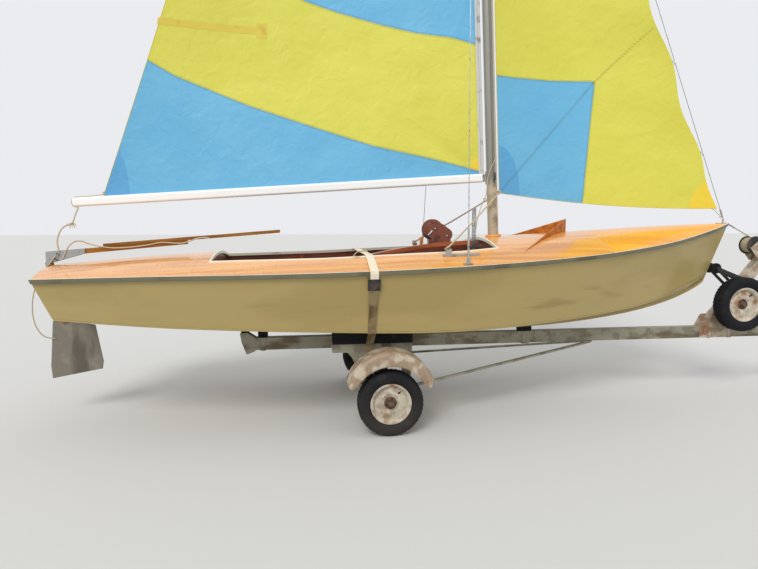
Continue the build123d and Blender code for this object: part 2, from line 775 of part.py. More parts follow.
MainRow = namedtuple("MainRow", "luff_z leech_x leech_z belly")
main_rows = [
    MainRow(boom_top(goose.X) + seam, main_clew_x, boom_top(main_clew_x) + seam, 5),
    MainRow(2700, -1790, 2540, 90),
    MainRow(4200, -1255, 4095, 86),
    MainRow(5900, -602, 5845, 52),
    MainRow(main_head_z, 76, main_head_z - 6, 4),
]
parts["mainsail"] = Solid.make_loft([sail_wire(on_luff(row.luff_z), Vector(row.leech_x, 0, row.leech_z), row.belly)
                                     for row in main_rows], False)
JibRow = namedtuple("JibRow", "luff_z leech_z belly")
jib_rows = [
    JibRow(jib_tack_z, jib_clew_z, 26),
    JibRow(2600, 2680, 110),
    JibRow(4200, 4240, 90),
    JibRow(jib_head_z, jib_head_z - 4, 6),
]
jib_back = Vector(-(stay_radius + seam) * math.hypot(1, stay_lean), 0, 0)
parts["jib"] = Solid.make_loft([sail_wire(on_forestay(row.luff_z) + jib_back,
                                          on_mast(row.leech_z, mast_long / 2 + jib_leech_gap), row.belly)
                                for row in jib_rows], False)

# Rudder: stock on the axis, blade pivoted between its cheeks
axis_up = Vector(aft.lean, 0, 1).normalized()
aft_dir = Vector(-axis_up.Z, 0, axis_up.X)
axis_foot = across(aft, 0, rudder_foot_z) + aft_dir * rudder_gap


def rudder_point(back, up):
    """A point aft of the rudder's axis and up along it, as (x, z)."""
    p = axis_foot + aft_dir * back + axis_up * up
    return p.X, p.Z


def rudder_drum(back, up, radius, width):
    x, z = rudder_point(back, up)
    return drum(x, 0, z, radius, width)


pivot_back, pivot_up = blade_pivot
inner_y = blade_thickness / 2 + blade_play
stock_half = inner_y + cheek_thickness
stock_aft = stock_top + (stock_chord - stock_top) * (stock_height - pivot_up - blade_sweep) / (stock_height - 70)
cheek_line = [rudder_point(*p) for p in (
    (stock_front, stock_height), (stock_top, stock_height), (stock_chord, 70), (stock_chord, stock_foot),
    (stock_front, stock_foot))]
filler_line = [rudder_point(*p) for p in (
    (stock_front, stock_height), (stock_top, stock_height), (stock_aft - 6, pivot_up + blade_sweep),
    (pivot_back - 10, pivot_up + blade_sweep), (stock_front, pivot_up + blade_boss + 12))]
stock = plate(cheek_line, inner_y, stock_half) + plate(cheek_line, -stock_half, -inner_y) \
    + plate(filler_line, -inner_y, inner_y)
parts["rudder_stock"] = stock + rudder_drum(*blade_pivot, pivot_radius, 2 * stock_half + 12)
blade = plate(blade_outline, -blade_thickness / 2, blade_thickness / 2) \
    + rudder_drum(*blade_pivot, blade_boss, blade_thickness)
parts["rudder_blade"] = blade - rudder_drum(*blade_pivot, pivot_radius + 0.1, 40)

# Gudgeons on the transom, pintles and head straps on the stock
gudgeons, irons = [], []
for up in gudgeon_places:
    level = Plane(origin=axis_foot + axis_up * up, x_dir=(0, 1, 0), z_dir=axis_up)
    ahead = 1 if (level * Pos(0, 1)).position.X > level.origin.X else -1
    pad_place = ahead * (rudder_gap - seam - plate_thickness / 2)
    gudgeon = extrude(level * Circle(gudgeon_radius), gudgeon_height) \
        + extrude(level * (Pos(0, ahead * (rudder_gap - seam) / 2) * Rectangle(8, rudder_gap - seam)), gudgeon_height) \
        + extrude(level * (Pos(0, pad_place) * Rectangle(76, plate_thickness)), gudgeon_height)
    gudgeons.append(gudgeon - extrude(level * Circle(pintle_radius + pintle_play), gudgeon_height))
    arm = Pos(0, -ahead * stock_front / 2) * Rectangle(12, stock_front)
    irons.append(extrude(level.offset(-8) * Circle(pintle_radius), gudgeon_height + 24)
                 + extrude(level.offset(gudgeon_height + 2) * arm, 14))


def tiller_z(x, rise=0):
    return tiller_root_z + (x - tiller_root_x) * tiller_slope + rise


def tiller_quad(x0, x1, low, high, lift=0):
    """A tapering length of the tiller as (x, z) corners."""
    return [(x0, tiller_z(x0, low)), (x1, tiller_z(x1, low + lift)),
            (x1, tiller_z(x1, high)), (x0, tiller_z(x0, high))]


tiller = plate(tiller_quad(tiller_root_x, tiller_end_x, 0, tiller_depth, tiller_taper),
               -tiller_width / 2, tiller_width / 2)
extension_low = tiller_depth + seam
parts["tiller_extension"] = plate(
    tiller_quad(extension_start_x, extension_end_x, extension_low, extension_low + extension_size),
    -extension_size / 2, extension_size / 2)
strap_back_x, strap_back_z = rudder_point(stock_top, stock_height - 20)
strap_foot_x, strap_foot_z = rudder_point(stock_front + 6, stock_height - 14)
strap_line = [(strap_back_x, strap_back_z), (strap_foot_x, strap_foot_z),
              (head_strap_front_x, tiller_z(head_strap_front_x, 4)),
              (head_strap_front_x, tiller_z(head_strap_front_x, tiller_depth)),
              (strap_back_x, tiller_z(strap_back_x, tiller_depth))]
strap_in = stock_half + seam
irons.append(plate(strap_line, strap_in, strap_in + head_strap_sheet)
             + plate(strap_line, -strap_in - head_strap_sheet, -strap_in))
for x in head_strap_bolts:
    bolt_z = tiller_z(x, tiller_depth / 2)
    irons[-1] = irons[-1] + drum(x, 0, bolt_z, head_bolt_radius, 2 * (strap_in + head_strap_sheet) + 8)
    tiller = tiller - drum(x, 0, bolt_z, head_bolt_radius + seam, 2 * tiller_width)
parts["rudder_irons"] = group(*irons)
parts["tiller"] = tiller
parts["hull_fittings"] = group(stem_base + stem_tang, mirrored(chain_base + chain_tang), *gudgeons)

# Trailer: tube, rails with cross stubs and spring hangers
tube_mid = tube_top - tube_height / 2
tube_low = tube_top - tube_height
tube_length = tube_front - tube_aft
tube_solid = Pos((tube_front + tube_aft) / 2, 0, tube_mid) * Box(tube_length, tube_width, tube_height)
parts["main_tube"] = tube_solid - Pos((tube_front + tube_aft) / 2, 0, tube_mid) * Box(
    tube_length, tube_width - 2 * tube_wall, tube_height - 2 * tube_wall)

rail_low = rail_top - rail_height
bunk_middle = (bunk_x[0] + bunk_x[1]) / 2
bunk_length = bunk_x[1] - bunk_x[0]
subframe = Pos(bunk_middle, bunk_y, rail_top - rail_height / 2) * Box(bunk_length, rail_section, rail_height)
stub = bunk_y + rail_section / 2 - tube_width / 2
subframe = subframe + Pos(cross_x, (tube_width + stub) / 2, rail_low - cross_size / 2) * Box(
    cross_size, stub, cross_size)
shoulder_z, foot_z = rail_low - hanger_shoulder, spring_eye_z - hanger_foot
for x, wide in zip(spring_x, hanger_wide):
    half, narrow = wide / 2, hanger_narrow / 2
    hanger_line = [(x - half, rail_low), (x - narrow, shoulder_z), (x - narrow, foot_z),
                   (x + narrow, foot_z), (x + narrow, shoulder_z), (x + half, rail_low)]
    for sign in (1, -1):
        y = bunk_y + sign * (spring_width / 2 + seam + hanger_plate / 2)
        subframe = subframe + plate(hanger_line, y - hanger_plate / 2, y + hanger_plate / 2)
    subframe = subframe - drum(x, bunk_y, spring_eye_z, spring_pin + spring_pin_play, 200)
parts["subframe"] = mirrored(subframe)

# Leaf springs, axle and braces
axle_z = tyre_radius
axle_top = axle_z + axle_size / 2
leaf_low = axle_top + seam + spring_leaf
eyes = [(x, 0, spring_eye_z) for x in spring_x]
leaf_arc = ThreePointArc(eyes[0], (axle_x, 0, leaf_low + spring_leaf / 2), eyes[1])
leaf_high, leaf_under = [leaf_arc.moved(Location((0, 0, sign * spring_leaf / 2))) for sign in (1, -1)]
leaf_wire = Wire([leaf_high, Line(leaf_high @ 1, leaf_under @ 1), leaf_under, Line(leaf_under @ 0, leaf_high @ 0)])
spring = extrude(facing(Face(leaf_wire), (0, 1, 0)), spring_width / 2, both=True, dir=(0, 1, 0))
spring = Pos(0, bunk_y, 0) * spring + Pos(axle_x, bunk_y, axle_top + seam + spring_leaf / 2) * Box(
    short_leaf, spring_width, spring_leaf)
for x in spring_x:
    spring = spring + drum(x, bunk_y, spring_eye_z, spring_eye, spring_width)
    spring = spring + drum(x, bunk_y, spring_eye_z, spring_pin, spring_width + 2 * hanger_plate + 14)
parts["leaf_springs"] = mirrored(spring)

axle = Pos(axle_x, 0, axle_z) * Box(axle_size, 2 * axle_half, axle_size)
spindle_length = spindle_end - axle_half
for sign in (1, -1):
    axle = axle + Pos(axle_x, sign * (axle_half + spindle_length / 2), axle_z) * (
        Rot(90, 0, 0) * Cylinder(spindle_radius, spindle_length))
    axle = axle + bar((axle_x, sign * brace_axle_y, axle_top + brace_size / 4 - 2),
                      (brace_front_x, sign * brace_front_y, tube_low - brace_plate - brace_size / 4 + 2),
                      brace_size, brace_size / 2)
axle = axle + Pos(brace_front_x - 45, 0, tube_low - brace_plate / 2) * Box(110, tube_width + 40, brace_plate)
parts["axle"] = axle - tube_solid

# Wheels: pressed rim with a capped hub, and a tyre; (along the axle, radius), outer face last
half_tyre, half_rim = tyre_width / 2, rim_width / 2
bead = half_rim - 6
tyre_half_line = [(bead - seam, rim_radius + 4), (bead - seam, rim_radius + 9), (half_rim + 1, rim_radius + 14),
                  (half_tyre - 6, rim_radius + 28), (half_tyre, rim_radius + 44), (half_tyre - 4, tyre_radius - 18),
                  (half_tyre - 14, tyre_radius - 5), (half_tyre - 26, tyre_radius)]
tyre = spun([(-a, r) for a, r in tyre_half_line] + [(a, r) for a, r in reversed(tyre_half_line)])
rim = spun([
    (-half_rim + 1, rim_radius + 7), (-half_rim + 5, rim_radius + 7), (-bead, rim_radius + 4 - seam),
    (bead, rim_radius + 4 - seam), (half_rim - 5, rim_radius + 7), (half_rim - 1, rim_radius + 7),
    (half_rim - 2, rim_radius - 2), (half_rim - 14, rim_radius - 14), (dish_y + 5, rim_radius - 20),
    (dish_y + 16, hub_radius + 22), (dish_y + 8, hub_radius), (dish_y + 4, hub_radius), (dish_y + 4, 22),
    (dish_y + 18, 20), (dish_y + 27, 14), (dish_y + 30, 0), (dish_y + 4, 0), (dish_y + 4, bore_radius),
    (dish_y - hub_length, bore_radius), (dish_y - hub_length, hub_radius - 8), (dish_y, hub_radius - 4),
    (dish_y + 10, hub_radius + 22), (dish_y, rim_radius - 22), (-half_rim + 14, rim_radius - 20),
    (-half_rim + 2, rim_radius - 2)])
for side_name, sign in (("left", 1), ("right", -1)):
    wheel_place = Location((axle_x, sign * track_half, axle_z), (0, 0, 90 * sign))
    parts[f"tyre_{side_name}"] = tyre.moved(wheel_place)
    parts[f"rim_{side_name}"] = rim.moved(wheel_place)
spare_place = Location((spare_x, spare_y, spare_z), (0, 0, -90))
parts["spare_tyre"] = tyre.moved(spare_place)
parts["spare_rim"] = rim.moved(spare_place)

# Fenders: crescent skirt and curved top, on a stay from the rail
fender_low = Pos(0, fender_foot - fender_lift + 500) * Rectangle(1200, 1000)
crescent = (Circle(fender_radius) - Pos(0, -fender_lift) * Circle(fender_arch)) & fender_low
crescent = fillet(crescent.vertices().group_by(Axis.Y)[0], 16)
fender_band = (Circle(fender_radius) - Circle(fender_radius - fender_sheet)) & fender_low
fender_out = track_half + fender_width / 2
fender_plane = Plane(origin=(axle_x, fender_out, axle_z + fender_lift), x_dir=(-1, 0, 0), z_dir=(0, 1, 0))
fender = extrude(fender_plane * crescent, -fender_sheet) + extrude(fender_plane * fender_band, -fender_width)
stay_in = bunk_y + rail_section / 2
stay_length = fender_out - fender_width + 15 - stay_in
stay_z = axle_z + fender_lift + fender_radius - fender_sheet + 0.5 - fender_stay_sheet / 2
fender = fender + Pos(axle_x, stay_in + stay_length / 2, stay_z) * Box(fender_stay, stay_length, fender_stay_sheet)
parts["fenders"] = mirrored(fender)


# Pads under the bottom and the keel, roller at the tube's aft end
def hull_room_outline(row):
    return both_sides([(0, row.keel_z - seam), (row.chine_half, row.chine_z - seam), (row.chine_half, row.sheer_z)])


def keel_room_outline(row):
    low = row.keel_z - keel_batten_depth - seam
    return [(-tube_width, low), (tube_width, low), (tube_width, row.sheer_z), (-tube_width, row.sheer_z)]


hull_room = hull_loft(hull_room_outline)
keel_room = hull_loft(keel_room_outline, rows[:-3])
bunk = Pos(bunk_middle, bunk_y, rail_top + 75) * Box(bunk_length, bunk_width, 150) - hull_room
keel_pads = [Pos(pad.x, 0, tube_top + 75) * Box(pad.length, tube_width - 4, 150) - keel_room for pad in keel_pad_table]
parts["hull_pads"] = group(mirrored(bunk), *keel_pads)

roller_z = row_at(roller_x, stations[2].keel_z).keel_z - keel_batten_depth - roller_radius - 2 * seam
roller_half = roller_width / 2
roller_line = [(-roller_half, roller_bolt + seam), (-roller_half, roller_radius), (-roller_half + 8, roller_radius),
               (-roller_half + 16, roller_radius - 1), (roller_half - 16, roller_radius - 1),
               (roller_half - 8, roller_radius), (roller_half, roller_radius), (roller_half, roller_bolt + seam)]
parts["keel_roller"] = spun(roller_line).moved(Location((roller_x, 0, roller_z), (0, 0, 90)))
bracket_line = [(tube_aft - 12, tube_low - 30), (tube_aft + 46, tube_low - 8), (tube_aft + 78, tube_top - 20),
                (roller_x + 26, roller_z + 14), (roller_x - 26, roller_z + 14), (tube_aft - 46, tube_top - 30)]
bracket_side = plate(bracket_line, tube_width / 2, tube_width / 2 + clamp_plate)
roller_bracket = bracket_side + bracket_side.mirror(Plane.XZ) \
    + drum(roller_x, 0, roller_z, roller_bolt, tube_width + 2 * clamp_plate + 16)
clamp_size = (tube_width + 2 * clamp_plate, tube_height + clamp_plate)
clamps = [Pos(pad.x, 0, tube_mid - clamp_plate / 2) * Box(pad.length * 0.55, *clamp_size) - tube_solid
          for pad in keel_pad_table]
parts["keel_brackets"] = group(roller_bracket, *clamps)

# Winch stand: a channel with gussets and bands on the tube, the spare's arm and the winch's cheeks
stand_run = (stand_top_z - tube_top) / stand_slope
along = Vector(1, 0, stand_slope).normalized()
level_run = stand_deep / along.Z
stand_half = tube_width / 2


def stand_edge(z, ahead=0):
    """X of the stand's aft edge at a height."""
    return stand_foot_x + (z - tube_top) / stand_slope + ahead


stand = plate([(stand_foot_x, tube_top), (stand_edge(tube_top, level_run), tube_top),
               (stand_edge(stand_top_z, level_run), stand_top_z), (stand_edge(stand_top_z), stand_top_z)],
              -stand_half, stand_half)
channel = plate([(stand_edge(tube_top - 5, 6), tube_top - 5), (stand_edge(tube_top - 5, level_run + 60), tube_top - 5),
                 (stand_edge(stand_top_z + 5, level_run + 60), stand_top_z + 5),
                 (stand_edge(stand_top_z + 5, 6), stand_top_z + 5)], -stand_half + stand_wall, stand_half - stand_wall)
gusset_line = [(stand_foot_x + ahead, z) for ahead, z in (
    (30, tube_top + gusset_rise), (-20, tube_top), (-20, tube_low),
    (260, tube_low), (260, tube_top), (190, tube_top + gusset_rise))]
gusset = plate(gusset_line, stand_half, stand_half + gusset_sheet)
stand = (stand - channel) + gusset + gusset.mirror(Plane.XZ)
for x in band_places:
    band = Box(band_width, tube_width + 4 * gusset_sheet, tube_height + 2 * gusset_sheet)
    stand = stand + (Pos(x, 0, tube_mid) * (band - Box(2 * band_width, tube_width, tube_height))
                     - Pos(x, 0, tube_top + gusset_sheet) * Box(2 * band_width, tube_width, 2 * gusset_sheet))
arm_end = spare_y - dish_y + 6
arm_length = -stand_half - arm_end
stand = stand + Pos(spare_x, arm_end + arm_length / 2, spare_z) * (Rot(90, 0, 0) * Cylinder(spindle_radius, arm_length))

reel_x, reel_z = reel
cheek_y = reel_width / 2 + winch_cheek_gap
reel_cheek = [(reel_x - 46, reel_z - 20), (reel_x + 30, reel_z + 40), (reel_x + 105, reel_z - 10),
              (stand_edge(stand_top_z, level_run - 4), stand_top_z - 60),
              (stand_edge(stand_top_z, -56), stand_top_z - 60)]
stand = stand + plate(reel_cheek, cheek_y, cheek_y + stand_wall) \
    + plate(reel_cheek, -cheek_y - stand_wall, -cheek_y)
stand = stand + drum(reel_x, 0, reel_z, reel_axle, 2 * cheek_y + 20)
spacer_z = stand_top_z - 40
stand = stand + drum(stand_edge(spacer_z, 20), 0, spacer_z, reel_axle, 2 * cheek_y + 14)
for drop in arm_drops:
    stand = stand - drum(stand_edge(bow_stop_z - drop, 22), 0, bow_stop_z - drop, arm_bolt + seam, 200)
parts["winch_stand"] = stand - tube_solid

# Bow stop against the stem, on two arms a side
stem_rake = math.atan(fore.lean)
stop_x = across(fore, 0, bow_stop_z).X + seam + stem_depth + (bow_stop_radius + seam) / math.cos(stem_rake)
stop_half = bow_stop_width / 2
stop_line = [(-stop_half, bow_stop_bolt + seam), (-stop_half, bow_stop_rim), (-stop_half + 16, bow_stop_rim),
             (-8, bow_stop_radius), (8, bow_stop_radius), (stop_half - 16, bow_stop_rim), (stop_half, bow_stop_rim),
             (stop_half, bow_stop_bolt + seam)]
parts["bow_stop"] = spun(stop_line).moved(Location((stop_x, 0, bow_stop_z), (0, 0, 90)))
arms = drum(stop_x, 0, bow_stop_z, bow_stop_bolt, bow_stop_width + 30)
for drop in arm_drops:
    low_end = Vector(stand_edge(bow_stop_z - drop, 30), 0, bow_stop_z - drop)
    start = Vector(stop_x - 6, 0, bow_stop_z + 6)
    run = (low_end - start).normalized()
    edge = Vector(-run.Z, 0, run.X) * arm_half
    arm_line = [(p.X, p.Z) for p in (start + edge, low_end + edge, low_end - edge, start - edge)]
    for y in (stop_half + 1, -stop_half - 1 - arm_sheet):
        arms = arms + plate(arm_line, y, y + arm_sheet)
    arms = arms + drum(stand_edge(bow_stop_z - drop, 22), 0, bow_stop_z - drop, arm_bolt, bow_stop_width + 24)
parts["bow_stop_arms"] = arms

# Winch reel, its line and the hook on the stemhead
flange_middle = reel_width / 2 - reel_flange / 2
winch_reel = drum(reel_x, 0, reel_z, reel_core, reel_width) \
    + drum(reel_x, flange_middle, reel_z, reel_radius, reel_flange) \
    + drum(reel_x, -flange_middle, reel_z, reel_radius, reel_flange)
parts["winch_reel"] = winch_reel - drum(reel_x, 0, reel_z, reel_axle + seam, 200)
coil_width = reel_width - 2 * reel_flange - 2 * seam
coil_radius = reel_core + rope_depth
line_start = across(fore, 0, fore.sheer_z + 4) + Vector(stem_depth + 2 * seam + hook_radius + 2, 0, 0)
line_touch = Vector(reel_x - 8, 0, reel_z + coil_radius + line_radius - 2)
line_dir = (line_touch - line_start).normalized()
parts["winch_hook"] = rod(line_start, line_start + line_dir * hook_length, hook_radius)
coil = drum(reel_x, 0, reel_z, coil_radius, coil_width) - drum(reel_x, 0, reel_z, reel_core + seam, 200)
parts["winch_line"] = rod(line_start + line_dir * (hook_length + seam), line_touch, line_radius) + coil

# Coupler and jack
half_tube = tube_width / 2
coupler_line = [
    (tube_front - 120, -half_tube - 4), (tube_front + 60, -half_tube - 4), (nose_x - 60, -38), (nose_x - 16, -34),
    (nose_x, -18), (nose_x, 18), (nose_x - 16, 34), (nose_x - 60, 38), (tube_front + 60, half_tube + 4),
    (tube_front - 120, half_tube + 4)]
coupler_low, coupler_top = tube_low + 8, tube_top + coupler_wall
ball_x, ball_z = nose_x - 50, tube_low + 32
coupler = prism(coupler_line, coupler_low, coupler_top)
tube_room = Pos(tube_front - 60, 0, tube_mid) * Box(124, tube_width, tube_height)
hollow = prism([(min(x, nose_x - coupler_wall), y * 0.84) for x, y in coupler_line[1:-1]], tube_low, tube_top)
cup_low = coupler_low + 4
cup = Pos(ball_x, 0, (cup_low + coupler_top) / 2) * Cylinder(ball_radius + 6, coupler_top - cup_low)
coupler = (coupler - tube_room - hollow) + (cup & prism(coupler_line, coupler_low, coupler_top))
socket = Pos(ball_x, 0, ball_z) * Sphere(ball_radius + ball_play) \
    + Pos(ball_x, 0, ball_z - 30) * Cylinder(ball_radius + ball_play, 60)
latch = Pos(nose_x - 120, 0, coupler_top + 8) * Box(110, 22, 18) \
    + Pos(nose_x - 180, 0, coupler_top + 20) * Box(60, 26, 8)
parts["coupler"] = (coupler - socket) + latch

jack_bore = jack_radius - jack_wall
bore_top = jack_leg_top_z + jack_travel + 8
jack = Pos(jack_x, jack_y, (jack_top_z + jack_bottom_z) / 2) * Cylinder(jack_radius, jack_top_z - jack_bottom_z)
clamp_width = abs(jack_y) - half_tube
jack = jack + Pos(jack_x, -half_tube - clamp_width / 2, tube_mid) * Box(90, clamp_width, 60)
jack = jack - Pos(jack_x, jack_y, (bore_top + jack_bottom_z) / 2) * Cylinder(jack_bore, bore_top - jack_bottom_z)
crank_z = jack_top_z + 22
jack = jack + rod((jack_x, jack_y, jack_top_z - 1), (jack_x, jack_y, crank_z + 4), 7) \
    + rod((jack_x - 6, jack_y, crank_z), (jack_x + 120, jack_y, crank_z), 6) \
    + rod((jack_x + 114, jack_y, crank_z - 2), (jack_x + 114, jack_y, crank_z + 78), 9)
parts["jack_body"] = jack
leg_height = jack_leg_top_z - foot_sheet / 2
parts["jack_leg"] = Pos(jack_x, jack_y, foot_sheet / 2) * Cylinder(foot_radius, foot_sheet) \
    + Pos(jack_x, jack_y, foot_sheet / 2 + leg_height / 2) * Cylinder(jack_bore - jack_play, leg_height)

# Strap over the cockpit and round the hull to the trailer's rails
tie_edges = [row_at(tie_x + sign * tie_width / 2, stations[3].chine_z) for sign in (1, -1)]
trim_out = cockpit_half_mid - seam
trim_in = trim_out - trim_width
over_trim = [(y, max(deck_z(row, y) for row in tie_edges) + deck_ply + trim_rise) for y in (trim_in, trim_out)]
rail_y = max(row.sheer_half for row in tie_edges) + seam + rail_width
rail_heights = [max(row.sheer_z for row in tie_edges) + rail_above, min(row.sheer_z for row in tie_edges) - rail_below]
chine_corner = (max(row.chine_half for row in tie_edges), min(row.chine_z for row in tie_edges))
route = [(0, over_trim[0][1]), *over_trim, (rail_y, rail_heights[0]), (rail_y, rail_heights[1]), chine_corner,
         (stay_in, rail_top - 12), (stay_in, rail_top - 12 - tie_end)]


def beside(points, distance):
    """The (y, z) route moved outwards, its corners mitred."""
    moved = []
    for i, (y, z) in enumerate(points):
        normals = []
        for (y0, z0), (y1, z1) in zip(points[max(i - 1, 0):i + 1], points[max(i - 1, 0) + 1:i + 2]):
            run_y, run_z = y1 - y0, z1 - z0
            length = math.hypot(run_y, run_z)
            normals.append((-run_z / length, run_y / length))
        sum_y, sum_z = sum(n[0] for n in normals), sum(n[1] for n in normals)
        scale = distance * len(normals) / (sum_y**2 + sum_z**2)
        moved.append((y + sum_y * scale, z + sum_z * scale))
    return moved


tie_in, tie_out = beside(route, tie_gap), beside(route, tie_gap + tie_thickness)
tie_half = strip(tie_in + tie_out[::-1], tie_x - tie_width / 2, tie_x + tie_width / 2)
parts["tie_down_strap"] = tie_half + tie_half.mirror(Plane.XZ)

# Centre the whole along X and write the pieces
os.makedirs("parts", exist_ok=True)
boxes = [piece.bounding_box() for piece in parts.values()]
middle_x = (min(box.min.X for box in boxes) + max(box.max.X for box in boxes)) / 2
print("moved by", -middle_x, "lowest", min(box.min.Z for box in boxes), "pieces", len(parts))
for name, piece in parts.items():
    piece = Pos(-middle_x, 0, 0) * piece
    export_step(piece, f"parts/{name}.step")
    box = piece.bounding_box()
    print(f"{name:26s}", len(piece.solids()), piece.is_valid, round(piece.volume / 1e6, 3),
          [round(v) for v in (*box.min, *box.max)])
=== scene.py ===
import json
import math
import bmesh
import bpy
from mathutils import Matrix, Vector, noise


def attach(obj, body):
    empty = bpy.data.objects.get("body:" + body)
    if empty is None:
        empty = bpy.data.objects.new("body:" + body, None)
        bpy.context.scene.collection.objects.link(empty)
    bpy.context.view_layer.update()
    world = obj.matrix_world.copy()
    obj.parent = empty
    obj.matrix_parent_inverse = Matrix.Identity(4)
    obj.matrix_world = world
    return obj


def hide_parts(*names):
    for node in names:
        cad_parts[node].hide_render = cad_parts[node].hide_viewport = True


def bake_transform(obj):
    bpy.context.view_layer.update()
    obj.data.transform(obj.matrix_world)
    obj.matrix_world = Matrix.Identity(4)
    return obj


for leftover in ("Cube", "Light", "Camera"):
    if leftover in bpy.data.objects:
        bpy.data.objects.remove(bpy.data.objects[leftover])
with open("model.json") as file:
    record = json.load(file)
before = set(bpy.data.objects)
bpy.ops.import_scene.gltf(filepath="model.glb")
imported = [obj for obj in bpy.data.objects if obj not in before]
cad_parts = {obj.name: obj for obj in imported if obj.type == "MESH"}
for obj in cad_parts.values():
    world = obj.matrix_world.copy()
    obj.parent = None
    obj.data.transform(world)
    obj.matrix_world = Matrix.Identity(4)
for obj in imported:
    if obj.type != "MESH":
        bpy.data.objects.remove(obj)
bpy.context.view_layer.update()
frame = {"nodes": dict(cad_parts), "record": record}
scene = bpy.context.scene
nodes = frame["nodes"]
record = frame["record"]
bodyOf = {node: body for body, members in record["behaviour"]["bodies"].items() for node in members}
slotOf = {row["node"]: row["material_slot"] for row in record["subparts"]}
boat, sailBody, rudderBody = "boat_and_trailer", "boom_and_mainsail", "rudder_and_tiller"
print("frame loaded:", len(nodes), "CAD nodes")


# Shader helpers
def tint(red, green, blue):  # a screen colour, 0 to 255, as Blender's linear one
    linear = [v / 3294.6 if v <= 10 else ((v / 255 + 0.055) / 1.055) ** 2.4 for v in (red, green, blue)]
    return (*linear, 1.0)


def addNode(tree, kind, inputs=None, **settings):
    node = tree.nodes.new(kind)
    for key, value in settings.items():
        setattr(node, key, value)
    for key, value in (inputs or {}).items():
        if isinstance(value, bpy.types.NodeSocket):
            tree.links.new(value, node.inputs[key])
        else:
            node.inputs[key].default_value = value
    return node


def maths(tree, operation, first, second=0.0):
    return addNode(tree, "ShaderNodeMath", {0: first, 1: second}, operation=operation).outputs[0]


def mixColour(tree, factor, first, second):
    return addNode(tree, "ShaderNodeMix", {0: factor, 6: first, 7: second}, data_type="RGBA").outputs[2]


def smoothBand(tree, value, low, high):  # 0 below low, 1 above high
    return addNode(tree, "ShaderNodeMapRange", {0: value, 1: low, 2: high, 3: 0.0, 4: 1.0},
                   interpolation_type="SMOOTHSTEP").outputs[0]


def cloudy(tree, place, scale, detail=5.0):
    return addNode(tree, "ShaderNodeTexNoise", {"Vector": place, "Scale": scale, "Detail": detail}).outputs[0]


def stretchBy(tree, place, scale):
    return addNode(tree, "ShaderNodeMapping", {"Vector": place, "Scale": scale}).outputs[0]


def fieldOf(tree, name):
    return addNode(tree, "ShaderNodeAttribute", attribute_name=name).outputs["Fac"]


def axesOf(tree, place):
    return addNode(tree, "ShaderNodeSeparateXYZ", {0: place}).outputs


def effectGroup(name, inputs, outputs):  # each socket is a name, a kind and perhaps a default
    group = bpy.data.node_groups.new(name, "ShaderNodeTree")
    for direction, sockets in (("INPUT", inputs), ("OUTPUT", outputs)):
        for label, kind, *default in sockets:
            socket = group.interface.new_socket(label, in_out=direction, socket_type="NodeSocket" + kind)
            if default:
                socket.default_value = default[0]
    return group, group.nodes.new("NodeGroupInput").outputs, group.nodes.new("NodeGroupOutput").inputs


fineWear, given, made = effectGroup(
    "fineWear",
    [("Place", "Vector"), ("Scale", "Float", 60.0), ("Base", "Float", 0.4), ("Spread", "Float", 0.15)],
    [("Roughness", "Float"), ("Height", "Float")])
grit = cloudy(fineWear, given["Place"], given["Scale"])
swing = maths(fineWear, "MULTIPLY", maths(fineWear, "SUBTRACT", grit, 0.5), given["Spread"])
fineWear.links.new(maths(fineWear, "ADD", swing, given["Base"]), made["Roughness"])
fineWear.links.new(grit, made["Height"])

weathering, given, made = effectGroup(
    "weathering", [("Place", "Vector"), ("Scale", "Float", 3.0), ("Amount", "Float", 0.3)],
    [("Mask", "Float")])
blots = cloudy(weathering, given["Place"], given["Scale"], 8.0)
low = maths(weathering, "SUBTRACT", 0.68, maths(weathering, "MULTIPLY", given["Amount"], 0.4))
weathering.links.new(smoothBand(weathering, blots, low, maths(weathering, "ADD", low, 0.14)), made["Mask"])

roadDust, given, made = effectGroup(
    "roadDust", [("Place", "Vector"), ("Reach", "Float", 0.6)], [("Mask", "Float")])
wander = maths(roadDust, "MULTIPLY", cloudy(roadDust, given["Place"], 7.0), 0.3)
ragged = maths(roadDust, "ADD", axesOf(roadDust, given["Place"])[2], wander)
above = smoothBand(roadDust, ragged, 0.1, given["Reach"])
roadDust.links.new(maths(roadDust, "SUBTRACT", 1.0, above), made["Mask"])

woodGrain, given, made = effectGroup(
    "woodGrain", [("Place", "Vector"), ("Light", "Color"), ("Dark", "Color"), ("Fineness", "Float", 1.0)],
    [("Color", "Color"), ("Height", "Float")])
stretched = stretchBy(woodGrain, given["Place"], (0.7, 9.0, 9.0))
figure = maths(woodGrain, "MULTIPLY", cloudy(woodGrain, stretched, given["Fineness"], 9.0), 0.75)
poreScale = maths(woodGrain, "MULTIPLY", given["Fineness"], 14.0)
pores = maths(woodGrain, "MULTIPLY", cloudy(woodGrain, stretched, poreScale, 3.0), 0.25)
grain = maths(woodGrain, "ADD", figure, pores)
lightShare = smoothBand(woodGrain, grain, 0.34, 0.66)
woodGrain.links.new(mixColour(woodGrain, lightShare, given["Dark"], given["Light"]), made["Color"])
woodGrain.links.new(grain, made["Height"])


def startMaterial(name):
    material = bpy.data.materials.new(name)
    material.use_nodes = True
    tree = material.node_tree
    place = addNode(tree, "ShaderNodeTexCoord").outputs["Object"]
    return material, tree, tree.nodes["Principled BSDF"], place


def useGroup(tree, group, place, **values):  # an effect group, placed with its own values
    node = addNode(tree, "ShaderNodeGroup", node_tree=group)
    tree.links.new(place, node.inputs["Place"])
    for key, value in values.items():
        node.inputs[key].default_value = value
    return node.outputs


